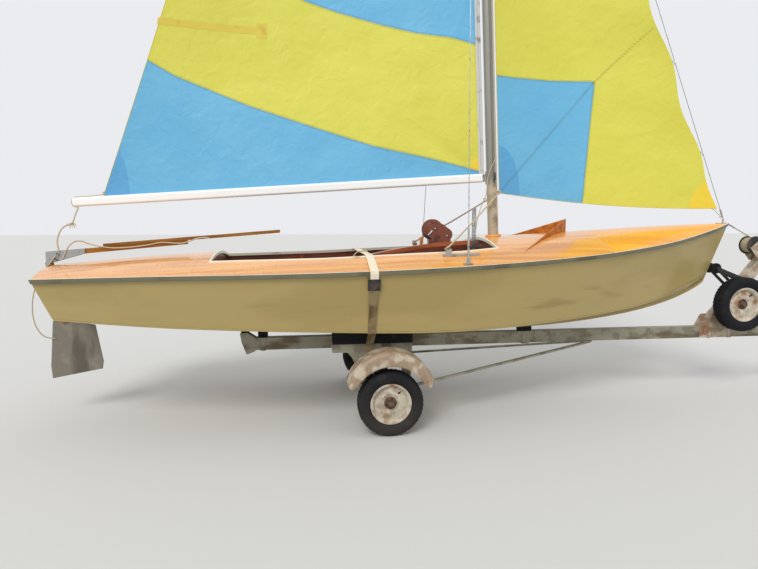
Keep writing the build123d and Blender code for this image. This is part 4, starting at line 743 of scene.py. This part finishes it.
def mainPatch(name, corners, columns, rows):  # cloth on both faces of the mainsail
    a, b, c, d = [Vector((x, 0, z)) for x, z in corners]
    points, faces = [], []
    for sign in (-1, 1):
        faces += gridFaces(columns, rows, len(points))
        for j in range(rows + 1):
            for i in range(columns + 1):
                point = a.lerp(b, i / columns).lerp(d.lerp(c, i / columns), j / rows)
                points.append((point.x, surfaceY(point.x, point.z) + sign * 0.0011, point.z))
    piece = meshPiece(name, points, faces)
    thicken(piece, 0.0005)
    return settle(piece, shadedPatchYellow, sailBody, "main_cloth")


def hem(name, line, body, slotName):  # a turned edge
    return settle(tubePiece(name, [line], 0.0022, 6), shadedPatchYellow, body, slotName)


mainPiece, mainArea = sailPiece("mainsail_cloth", mainPoint, mainSail, mainField)
settle(mainPiece, mainCloth, sailBody, "main_cloth", "mainsail", angle=60)
jibPiece, jibArea = sailPiece("jib_cloth", jibPoint, jibSail, jibField)
settle(jibPiece, jibCloth, boat, "jib_cloth", "jib", angle=60)

mainParts = [
    mainPatch("batten_pocket", [(-2.225, 2.612), (-1.591, 2.597), (-1.589, 2.644), (-2.215, 2.656)], 40, 4),
    mainPatch("batten_end_patch", [(-1.591, 2.571), (-1.518, 2.574), (-1.516, 2.675), (-1.589, 2.671)], 8, 8),
]
tapeSection = [(0.004, 0), (-0.002, -0.003), (-0.034, -0.0016), (-0.034, 0.0016), (-0.002, 0.003)]
luffLine = [mainPoint(0.0, 4 * k / 240) for k in range(241)]
luffTape = loft("main_luff_tape", [[(point.x + ahead, point.y + side, point.z + 0.0005)
                                    for ahead, side in tapeSection] for point in luffLine])
mainParts.append(settle(luffTape, luffTapeCloth, sailBody, "main_cloth"))
for side, label in ((-1, "near"), (1, "far")):
    path = [point + Vector((-0.018, side * 0.0026, 0)) for point in luffLine[2:-2]]
    mainParts.append(repeatAlong("luff_stitches_" + label, path, stitch, 0.012, (0, side, 0), stitchThread,
                                 sailBody, "main_cloth"))
mainParts.append(hem("main_leech_hem", [mainPoint(1.0, 4 * k / 160) for k in range(161)], sailBody,
                     "main_cloth"))
jibParts = [hem("jib_leech_hem", [jibPoint(1.0, 3 * k / 160) for k in range(161)], boat, "jib_cloth"),
            hem("jib_foot_hem", [jibPoint(k / 80, 0.0) for k in range(81)], boat, "jib_cloth")]
print("sails made, area", round(mainArea, 2), round(jibArea, 2))

# Tyres with grooves and sipes, wheel nuts and valves
tyreLook = {"segments": 144, "sipeEvery": 3, "sipeDepth": 0.004, "sipeFrom": 0.0230, "sipeTo": 0.0510,
            "treadFrom": 0.195}
halfTyre = [  # across and radius, from the bead to the middle groove
    (0.0397, 0.125), (0.0397, 0.1295), (0.044, 0.1325), (0.0495, 0.1395), (0.0545, 0.149), (0.058, 0.158),
    (0.0575, 0.161), (0.059, 0.165), (0.0588, 0.174), (0.0572, 0.182), (0.0545, 0.189), (0.0503, 0.1957),
    (0.0455, 0.2003), (0.040, 0.2034), (0.034, 0.2055), (0.0238, 0.2055), (0.0226, 0.1995),
    (0.0186, 0.1995), (0.0174, 0.2055), (0.0066, 0.2055), (0.0054, 0.1995)]
tyreProfile = halfTyre + [(-a, r) for a, r in reversed(halfTyre)]


def treadRadius(i, across, radius):
    onTread = radius > tyreLook["treadFrom"] and tyreLook["sipeFrom"] < abs(across) < tyreLook["sipeTo"]
    return radius - tyreLook["sipeDepth"] if onTread and i % tyreLook["sipeEvery"] == 0 else radius


hubLook = {"flange": 0.0165, "nutRing": 0.0305, "nuts": 4, "nutSize": 0.66}
hubProfile = [  # along the axle and radius
    (0.0105, 0.0004), (0.0105, 0.0388), (0.0145, 0.0388), (hubLook["flange"], 0.0370),
    (hubLook["flange"], 0.0232), (0.0190, 0.0222), (0.0400, 0.0212), (0.0445, 0.0185), (0.0470, 0.0110),
    (0.0478, 0.0004)]
wheels = [("left", (-0.770, 0.650, 0.2055), 1, "left_wheel"),
          ("right", (-0.770, -0.650, 0.2055), -1, "right_wheel"),
          ("spare", (2.000, -0.165, 0.702), -1, boat)]
for name, centre, outward, body in wheels:
    tyreNode = "spare_tyre" if name == "spare" else "tyre_" + name
    tyre = spunPiece(name + "_tyre_rubber", tyreProfile, centre, outward, tyreLook["segments"], treadRadius)
    settle(tyre, tyreRubber, body, "tyre", tyreNode, angle=28)
    hub = spunPiece(name + "_hub", hubProfile, centre, outward, 40)
    settle(hub, hubRust, body, "trailer_paint", angle=30)
    face = centre[1] + outward * hubLook["flange"]
    ring = [(centre[0] + hubLook["nutRing"] * math.cos(a), face, centre[2] + hubLook["nutRing"] * math.sin(a))
            for a in (2 * math.pi * k / 48 for k in range(48))]
    nutStep = 2 * math.pi * hubLook["nutRing"] / (hubLook["nuts"] + 0.02)
    repeatAlong(name + "_wheel_nuts", ring, wheelNut, nutStep, (0, outward, 0), hubRust, body,
                "trailer_paint", closed=True, size=hubLook["nutSize"])
    stem = Vector((centre[0] + 0.040, centre[1] + outward * 0.010, centre[2] + 0.050))
    valve = tubePiece(name + "_valve", [[stem, stem + Vector((0.010, outward * 0.012, 0.012)),
                                         stem + Vector((0.020, outward * 0.022, 0.024))]], 0.0042, 12)
    settle(valve, blackRubber, body, "black_rubber")
print("wheels made")

# Fenders: pressed crescents with rolled lips and round ends, on their flat stays
fenderLook = {"centre": (-0.770, 0.2575), "radius": 0.283, "arch": 0.240, "lift": 0.052, "foot": 0.060,
              "side": 0.725, "inside": 0.575, "sheet": 0.003, "corner": 0.034, "endLength": 0.045,
              "stations": 96}


def fenderSection(angle):  # radius and place across, from the lip to the inner edge
    look = fenderLook
    lift, outer, side, corner = look["lift"], look["radius"], look["side"], look["corner"]
    inner = -lift * math.sin(angle) + math.sqrt(look["arch"] ** 2 - (lift * math.cos(angle)) ** 2)
    middle = (inner + outer) / 2
    section = [(inner, side - 0.011), (inner + 0.0015, side - 0.005), (inner + 0.006, side - 0.0015),
               (inner + 0.012, side), (middle, side), (outer - corner - 0.004, side - 0.0008)]
    for k in range(9):
        turn = math.radians(10 + 10 * k)
        section.append((outer - corner * (1 - math.sin(turn)), side - corner * (1 - math.cos(turn))))
    section += [(outer, side - 0.06), (outer, side - 0.10), (outer, look["inside"])]
    end = look["radius"] * (min(angle, math.pi - angle) - math.asin(look["foot"] / outer))
    if end < look["endLength"]:
        share = math.sqrt(max(0.0, 1 - (1 - end / look["endLength"]) ** 2))
        section = [(middle + (radius - middle) * share, across) for radius, across in section]
    return section


firstAngle = math.asin(fenderLook["foot"] / fenderLook["radius"]) + 0.0004
fenderPoints, fenderFaces = [], []
for sign in (-1, 1):
    quads = gridFaces(len(fenderSection(firstAngle)) - 1, fenderLook["stations"], len(fenderPoints))
    fenderFaces += quads if sign > 0 else [quad[::-1] for quad in quads]
    for i in range(fenderLook["stations"] + 1):
        share = 0.5 - 0.5 * math.cos(math.pi * i / fenderLook["stations"])  # closer together at the ends
        angle = firstAngle + (math.pi - 2 * firstAngle) * share
        for radius, across in fenderSection(angle):
            fenderPoints.append((fenderLook["centre"][0] + radius * math.cos(angle), sign * across,
                                 fenderLook["centre"][1] + radius * math.sin(angle)))
fenders = meshPiece("fender_pressings", fenderPoints, fenderFaces)
topFace = max(fenders.data.polygons, key=lambda face: face.center.z)
if topFace.normal.z < 0:
    fenders.data.flip_normals()
thicken(fenders, fenderLook["sheet"], -1)
settle(fenders, trailerPaint, boat, "trailer_paint", "fenders")
stays = boxes("fender_stays", [((-0.800, -0.590, 0.532), (-0.740, -0.475, 0.538)),
                               ((-0.800, 0.475, 0.532), (-0.740, 0.590, 0.538))])
settle(stays, galvanised, boat, "trailer_paint", angle=None)
print("fenders made")

# The forefoot closes the run from the keel batten to the stem
forefootSide = [  # x, z and half width, along the bottom and back along the planking
    (1.560, 0.7365, 0.0104), (1.6403, 0.7714, 0.0090), (1.700, 0.8005, 0.0078), (1.750, 0.8280, 0.0066),
    (1.7835, 0.8520, 0.0055), (1.7945, 0.8640, 0.0050), (1.777, 0.8680, 0.0140), (1.740, 0.8480, 0.0130),
    (1.7032, 0.8250, 0.0120), (1.6485, 0.8000, 0.0105), (1.5771, 0.7690, 0.0102)]
forefoot = loft("forefoot", [[(x, sign * half, z) for x, z, half in forefootSide] for sign in (-1, 1)])
roundEdges(forefoot, 0.0012)
settle(forefoot, hullPaint, boat, "hull_paint", angle=None)

# The boom's rounded end plug and the outhaul along its top
boomEnd = {"centre": (-2.795, 1.452), "slope": 0.06664, "half": (0.022, 0.031), "corner": 0.016}
steps = [  # back from the boom's end, and the section's size there
    (0.0, 1.0), (0.004, 0.985), (0.008, 0.93), (0.0112, 0.83), (0.0135, 0.66), (0.0148, 0.40), (0.0151, 0.1)]
halfWide, halfHigh = (half - boomEnd["corner"] for half in boomEnd["half"])
ring = []
for cornerX, cornerZ, first in ((1, 1, 0), (-1, 1, 90), (-1, -1, 180), (1, -1, 270)):
    ring += arcPoints((cornerX * halfWide, cornerZ * halfHigh), boomEnd["corner"], first, first + 90, 6)
plug = loft("boom_end_plug", [[(boomEnd["centre"][0] - back - up * size * boomEnd["slope"], across * size,
                                boomEnd["centre"][1] - back * boomEnd["slope"] + up * size)
                               for across, up in ring] for back, size in steps])
settle(plug, boomWhite, sailBody, "spar_alloy", angle=60)
outhaul = [lineThrough([(-2.604, 0.000, 1.506), (-2.700, -0.003, 1.4925), (-2.785, -0.006, 1.4865),
                        (-2.806, -0.010, 1.476), (-2.812, -0.016, 1.452), (-2.796, -0.024, 1.424),
                        (-2.768, -0.026, 1.418)], 0.01),
           lineThrough([(-2.600, -0.006, 1.500), (-2.616, -0.008, 1.514), (-2.606, 0.006, 1.520),
                        (-2.598, 0.006, 1.504)], 0.004)]
settle(tubePiece("outhaul", outhaul, 0.0030, 8), laidRope, sailBody, "rope")

# Screws and bolts
springY = 0.450
uBoltShape = [(-0.026, 0.166), (-0.026, 0.236), (-0.020, 0.247), (0.020, 0.247), (0.026, 0.236),
              (0.026, 0.166)]  # across from the spring, and height
for sign, side in ((-1, "near"), (1, "far")):
    track = [(x, sign * 0.555, 1.1195) for x in (-0.345, -0.19)]
    repeatAlong(f"track_screws_{side}", track, screwHead, 0.06, (0, 0, 1), fittingSteel, boat, "stainless")
    uBolts = [lineThrough([(x, sign * springY + across, z) for across, z in uBoltShape], 0.006)
              for x in (-0.804, -0.736)]
    settle(tubePiece(f"axle_u_bolts_{side}", uBolts, 0.004, 12), galvanised, boat, "galvanised")
    plate = boxes(f"axle_plate_{side}", [((-0.816, sign * springY - 0.035, 0.1755),
                                          (-0.724, sign * springY + 0.035, 0.1820))])
    settle(plate, galvanised, boat, "galvanised")

# Cleats and halyards on the mast, the board winch, ropes and lashings, and the strap's buckle
mastCleats = []
for sign in (-1, 1):
    foot = onMast(1.64, 0.012, sign * 0.0275)
    horn = [foot + Vector((0, sign * out, up)) for out, up in ((0.011, -0.036), (0.015, 0), (0.011, 0.036))]
    mastCleats.append(lineThrough(horn))
    for up in (-1, 1):
        leg = [foot + Vector((0, -sign * 0.002, up * 0.010)), foot + Vector((0, sign * 0.014, up * 0.009))]
        mastCleats.append(lineThrough(leg, 0.004))
settle(tubePiece("mast_cleats", mastCleats, 0.0045, 12), blackSteel, boat, "black_steel")
halyards = [[onMast(1.62, 0.014, -0.044), onMast(1.78, 0.020, -0.036), onMast(3.9, 0.020, -0.0345),
             onMast(6.28, 0.020, -0.0345)],
            [onMast(1.62, 0.014, 0.044), onMast(1.78, 0.016, 0.036), onMast(4.7, 0.016, 0.0345),
             onMast(7.86, 0.016, 0.0345)]]
halyardLines = [lineThrough(line, 0.05) for line in halyards]
settle(tubePiece("halyards", halyardLines, 0.003, 8), laidRope, boat, "rope")

winchLook = {"drum": (-0.366, 1.268), "cheek": 0.020, "rim": 0.054, "rimWidth": 0.009, "plate": 0.003,
             "bevel": 0.0009}
rimArcs = [[Vector((x, sign * winchLook["cheek"], z))
            for x, z in arcPoints(winchLook["drum"], reach, -20, 230, 50)]
           for sign in (-1, 1) for reach in (winchLook["rim"], winchLook["rim"] - winchLook["rimWidth"])]
settle(tubePiece("board_winch_rims", rimArcs, 0.0026, 8), winchMaroon, boat, "winch_brown")
cheekOutline = arcPoints((-0.352, 1.262), 0.046, 200, 60) + arcPoints((-0.262, 1.230), 0.036, 70, -60) \
    + [(-0.262, 1.1795), (-0.386, 1.1795)]
for sign, side in ((-1, "near"), (1, "far")):
    start = winchLook["cheek"] if sign > 0 else -winchLook["cheek"] - winchLook["plate"]
    cheek = loft(f"board_winch_cheek_{side}", [[(x, start + step, z) for x, z in cheekOutline]
                                               for step in (0, winchLook["plate"])])
    roundEdges(cheek, winchLook["bevel"])
    settle(cheek, winchMaroon, boat, "winch_brown", angle=None)
    boltLine = [Vector((x, sign * (winchLook["cheek"] + winchLook["plate"]), z))
                for x, z in ((-0.350, 1.275), (-0.262, 1.222))]
    repeatAlong(f"board_winch_bolts_{side}", boltLine, smallBolt, (boltLine[1] - boltLine[0]).length / 1.001,
                (0, sign, 0), dullAlloy, boat, "stainless", size=1.15)
lever = lineThrough([(-0.400, -0.0225, 1.228), (-0.384, -0.034, 1.246), (-0.374, -0.036, 1.262)], 0.004)
settle(tubePiece("board_winch_lever", [lever], 0.0042, 10), boomWhite, boat, "white_trim")
clip = [lineThrough([(-0.424, -0.0215, 1.236), (-0.412, -0.0320, 1.222), (-0.392, -0.0320, 1.208),
                     (-0.380, -0.0225, 1.200)], 0.004)]
settle(tubePiece("board_winch_clip", clip, 0.0048, 10), blackSteel, boat, "black_steel")
block = boxes("board_winch_block", [((-0.4560, -0.018, 1.1565), (-0.4385, 0.018, 1.214))], 0.0025)
settle(block, orangeVarnish, boat, "deck_varnish", angle=None)
postRope = lineThrough([(0.010, -0.034, 1.478), (-0.012, -0.040, 1.44), (-0.034, -0.040, 1.372),
                        (-0.046, -0.040, 1.318), (-0.052, -0.0405, 1.266), (-0.055, -0.0395, 1.260)],
                       0.01)  # down to the hook on the post
downRope = lineThrough([(0.0856, -0.0375, 1.784), (0.070, -0.041, 1.745), (0.048, -0.043, 1.700),
                        (0.026, -0.044, 1.62), (0.020, -0.044, 1.53), (0.010, -0.036, 1.480)],
                       0.01)  # off the near halyard
hitch = lineThrough([(0.000, -0.030, 1.468), (0.014, -0.046, 1.470), (0.022, -0.040, 1.484),
                     (0.010, -0.030, 1.492), (-0.002, -0.042, 1.484), (0.006, -0.050, 1.474),
                     (0.020, -0.036, 1.472)], 0.004)
settle(tubePiece("mast_rope", [postRope, downRope, hitch], 0.0030, 10), laidRope, boat, "rope")
lashing = [lineThrough([(1.836, 0.0, 1.428), (1.872, -0.006, 1.396), (1.914, -0.003, 1.362)], 0.01),
           lineThrough([(1.832, -0.005, 1.424), (1.842, 0.004, 1.434), (1.850, 0.005, 1.422),
                        (1.840, -0.004, 1.418)], 0.003),
           lineThrough([(1.905, 0.006, 1.356), (1.916, -0.008, 1.372), (1.926, -0.006, 1.358),
                        (1.916, 0.006, 1.350)], 0.003)]
settle(tubePiece("tack_lashing", lashing, 0.0026, 8), laidRope, boat, "rope")
toggle = [lineThrough([(-1.318, 0.482, 1.066), (-1.312, 0.470, 1.045), (-1.322, 0.466, 1.028),
                       (-1.306, 0.462, 1.018), (-1.292, 0.468, 1.032), (-1.302, 0.474, 1.048),
                       (-1.290, 0.482, 1.066)], 0.004),
          lineThrough([(-1.316, 0.468, 1.036), (-1.300, 0.456, 1.040), (-1.290, 0.468, 1.034),
                       (-1.304, 0.478, 1.032), (-1.316, 0.468, 1.036)], 0.004)]
settle(tubePiece("cockpit_toggle", toggle, 0.0042, 8), redCord, boat, "rope")
hookLine = lineThrough([(-0.055, -0.0375, 1.262), (-0.044, -0.052, 1.256), (-0.036, -0.060, 1.240),
                        (-0.044, -0.058, 1.224), (-0.056, -0.050, 1.232)], 0.004)
settle(tubePiece("post_hook", [hookLine], 0.0036, 10), boomWhite, boat, "white_trim")
strapLook = {"sideY": 0.7445, "sideZ": 0.95, "lean": 0.3833, "top": 1.1157}
buckle = boxes("strap_buckle", [((-0.918, -0.0055, 0.915), (-0.842, 0.0005, 0.985))], 0.0018)
for vertex in buckle.data.vertices:  # it leans as the strap does under the rail
    vertex.co.y -= strapLook["sideY"] + (vertex.co.z - strapLook["sideZ"]) * strapLook["lean"]
settle(buckle, blackSteel, boat, "black_steel")
print("fittings made")

# Jib hanks on the forestay, and the jib's sheets to their leads
hankGaps = 6
hankPath = [onStay(jibSail["firstHank"] + jibSail["hankPitch"] * k, -0.009) for k in (0, hankGaps)]
hankRing = hidden(tubePiece("hank_ring", [[Vector((0.014 * math.cos(a), 0.0, 0.010 * math.sin(a)))
                                           for a in (2 * math.pi * k / 18 for k in range(19))]], 0.0022, 6))
hankStep = (hankPath[1] - hankPath[0]).length / (hankGaps + 0.001)
repeatAlong("jib_hanks", hankPath, hankRing, hankStep, (0, 1, 0), fittingSteel, boat, "stainless")
jibSheets = []
for sign in (-1, 1):
    jibSheets.append(lineThrough([(0.124, sign * 0.010 + 0.002, 1.530), (-0.130, sign * 0.274, 1.338),
                                  (-0.390, sign * 0.552, 1.158)], 0.04))
    jibSheets.append(lineThrough([(-0.405, sign * 0.545, 1.150), (-0.398, sign * 0.572, 1.162),
                                  (-0.384, sign * 0.560, 1.168), (-0.380, sign * 0.540, 1.158),
                                  (-0.392, sign * 0.536, 1.148)], 0.004))
    jibSheets.append(lineThrough([(0.116, sign * 0.016, 1.522), (0.136, sign * 0.018 + 0.002, 1.534),
                                  (0.132, sign * 0.004, 1.548), (0.116, sign * 0.012, 1.540)], 0.004))
settle(tubePiece("jib_sheets", jibSheets, 0.0055, 10), laidRope, boat, "rope")
print("jib rigging made")


# Free ropes
def freeRope(name, points, radius, body, crosses=None):
    data = bpy.data.curves.new(name, "CURVE")
    data.dimensions = "3D"
    spline = data.splines.new("NURBS")
    spline.points.add(len(points) - 1)
    for point, place in zip(spline.points, points):
        point.co = (*place, 1.0)
    spline.order_u = 3
    spline.use_endpoint_u = True
    data.resolution_u = 10
    piece = bpy.data.objects.new(name, data)
    scene.collection.objects.link(piece)
    graph = bpy.context.evaluated_depsgraph_get()
    line = bpy.data.meshes.new_from_object(piece.evaluated_get(graph))
    spots = [vertex.co.copy() for vertex in line.vertices]
    if crosses:  # with crosses given, it is a plain mesh tube left in world place, attached to no body
        bpy.data.objects.remove(piece)
        piece = tubePiece(name, [spots], radius, 12)
        piece.data.materials.append(laidRope)
        piece.data.shade_smooth()
        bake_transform(piece)
    else:
        data.bevel_depth = radius
        data.bevel_resolution = 3
        data.use_fill_caps = True
        settle(piece, laidRope, body, "rope")


knotSpot, strands = Vector((-2.786, -0.093, 1.310)), []  # frayed strands round a knot
for k in range(16):
    turn, lean = 2.399 * k, 0.35 + 0.04 * k
    out = Vector((math.cos(turn) * lean, math.sin(turn) * 0.6, 0.35 * math.sin(1.7 * k) - 0.15))
    tip = knotSpot + out * 0.036 + Vector((0, 0, -0.012))
    strands.append(lineThrough([knotSpot, knotSpot + out * 0.022, tip], 0.006))
loopTurns = [2 * math.pi * n / 14 for n in range(15)]
for k in range(3):
    strands.append([knotSpot + Vector((0.010 * math.cos(a + k), 0.009 * math.sin(a),
                                       0.008 * math.sin(a + 2 * k))) for a in loopTurns])
frayedKnot = tubePiece("frayed_knot", strands, 0.0014, 6)
settle(frayedKnot, laidRope, sailBody, "rope")
freeRope("boom_end_rope", [(-2.765, -0.026, 1.418), (-2.775, -0.06, 1.375), (-2.780, -0.095, 1.310),
                           (-2.823, -0.130, 1.296), (-2.846, -0.155, 1.251), (-2.858, -0.170, 1.187),
                           (-2.844, -0.170, 1.133)], 0.005, sailBody)
freeRope("tiller_rope", [(-2.881, -0.0265, 1.075), (-2.860, -0.0265, 1.136), (-2.817, -0.0250, 1.189),
                         (-2.766, -0.0220, 1.200), (-2.705, -0.0200, 1.170), (-2.579, -0.0192, 1.145),
                         (-2.458, -0.0192, 1.150), (-2.321, -0.0192, 1.168), (-2.255, -0.0192, 1.186),
                         (-2.145, -0.0192, 1.176), (-2.092, -0.0180, 1.178), (-1.987, -0.0150, 1.222),
                         (-1.933, -0.0152, 1.212)], 0.0045, rudderBody)
freeRope("rudder_lanyard", [(-2.926, -0.0262, 1.098), (-2.978, -0.045, 1.026), (-3.0465, -0.060, 0.916),
                            (-3.077, -0.065, 0.784), (-3.075, -0.060, 0.659), (-3.0395, -0.045, 0.567),
                            (-2.990, -0.018, 0.538), (-2.965, -0.0070, 0.537)], 0.004, rudderBody,
         crosses=("lifting_blade", (-3.040, -0.040, 0.900), (-2.975, -0.010, 0.540)))
strapTurns = [(-0.909, -0.100, 1.1145), (-0.905, -0.100, 1.1190), (-0.880, -0.101, 1.1190),
              (-0.855, -0.102, 1.1190), (-0.851, -0.103, 1.1145), (-0.855, -0.104, 1.1100),
              (-0.880, -0.105, 1.1100), (-0.905, -0.106, 1.1100), (-0.909, -0.107, 1.1145),
              (-0.905, -0.108, 1.1190), (-0.880, -0.109, 1.1190)]
strapHitch = tubePiece("strap_hitch", [lineThrough(strapTurns, 0.004)], 0.0036, 8)
settle(strapHitch, laidRope, boat, "rope")
freeRope("strap_rope", [(-0.880, -0.112, strapLook["top"] + 0.0040),
                        (-0.903, -0.124, strapLook["top"] + 0.0046),
                        (-0.926, -0.135, 1.115), (-0.952, -0.147, 1.087), (-0.976, -0.156, 1.046),
                        (-0.990, -0.160, 1.004)], 0.0045, boat)

# Stage, light and camera
stageLook = {"floor": (205, 204, 200), "sky": (240, 241, 245), "skyStrength": 0.95, "sunStrength": 1.7,
             "sunSpread": 24}
floor = meshPiece("pale_floor", [(-60, -60, 0), (60, -60, 0), (60, 60, 0), (-60, 60, 0)], [(0, 1, 2, 3)])
floor.data.materials.append(coated("paleFloor", stageLook["floor"], stageLook["floor"], 0.0, 0.5, rough=0.9))
sunData = bpy.data.lights.new("soft_sun", "SUN")
sunData.energy = stageLook["sunStrength"]
sunData.angle = math.radians(stageLook["sunSpread"])
sun = bpy.data.objects.new("soft_sun", sunData)
sun.rotation_euler = (math.radians(48), math.radians(4), math.radians(-28))
scene.collection.objects.link(sun)
world = bpy.data.worlds.new("soft_sky")
world.use_nodes = True
world.node_tree.nodes["Background"].inputs[0].default_value = tint(*stageLook["sky"])
world.node_tree.nodes["Background"].inputs[1].default_value = stageLook["skyStrength"]
scene.world = world
cameraData = bpy.data.cameras.new("photo_camera")
cameraData.lens = 27.07
cameraData.sensor_width = 36
camera = bpy.data.objects.new("photo_camera", cameraData)
camera.location = (-1.289, -4.061, 1.318)
camera.rotation_euler = (math.radians(90 - 6.21), 0, math.radians(-7.5))
scene.collection.objects.link(camera)
scene.camera = camera
scene.view_settings.view_transform = "Standard"
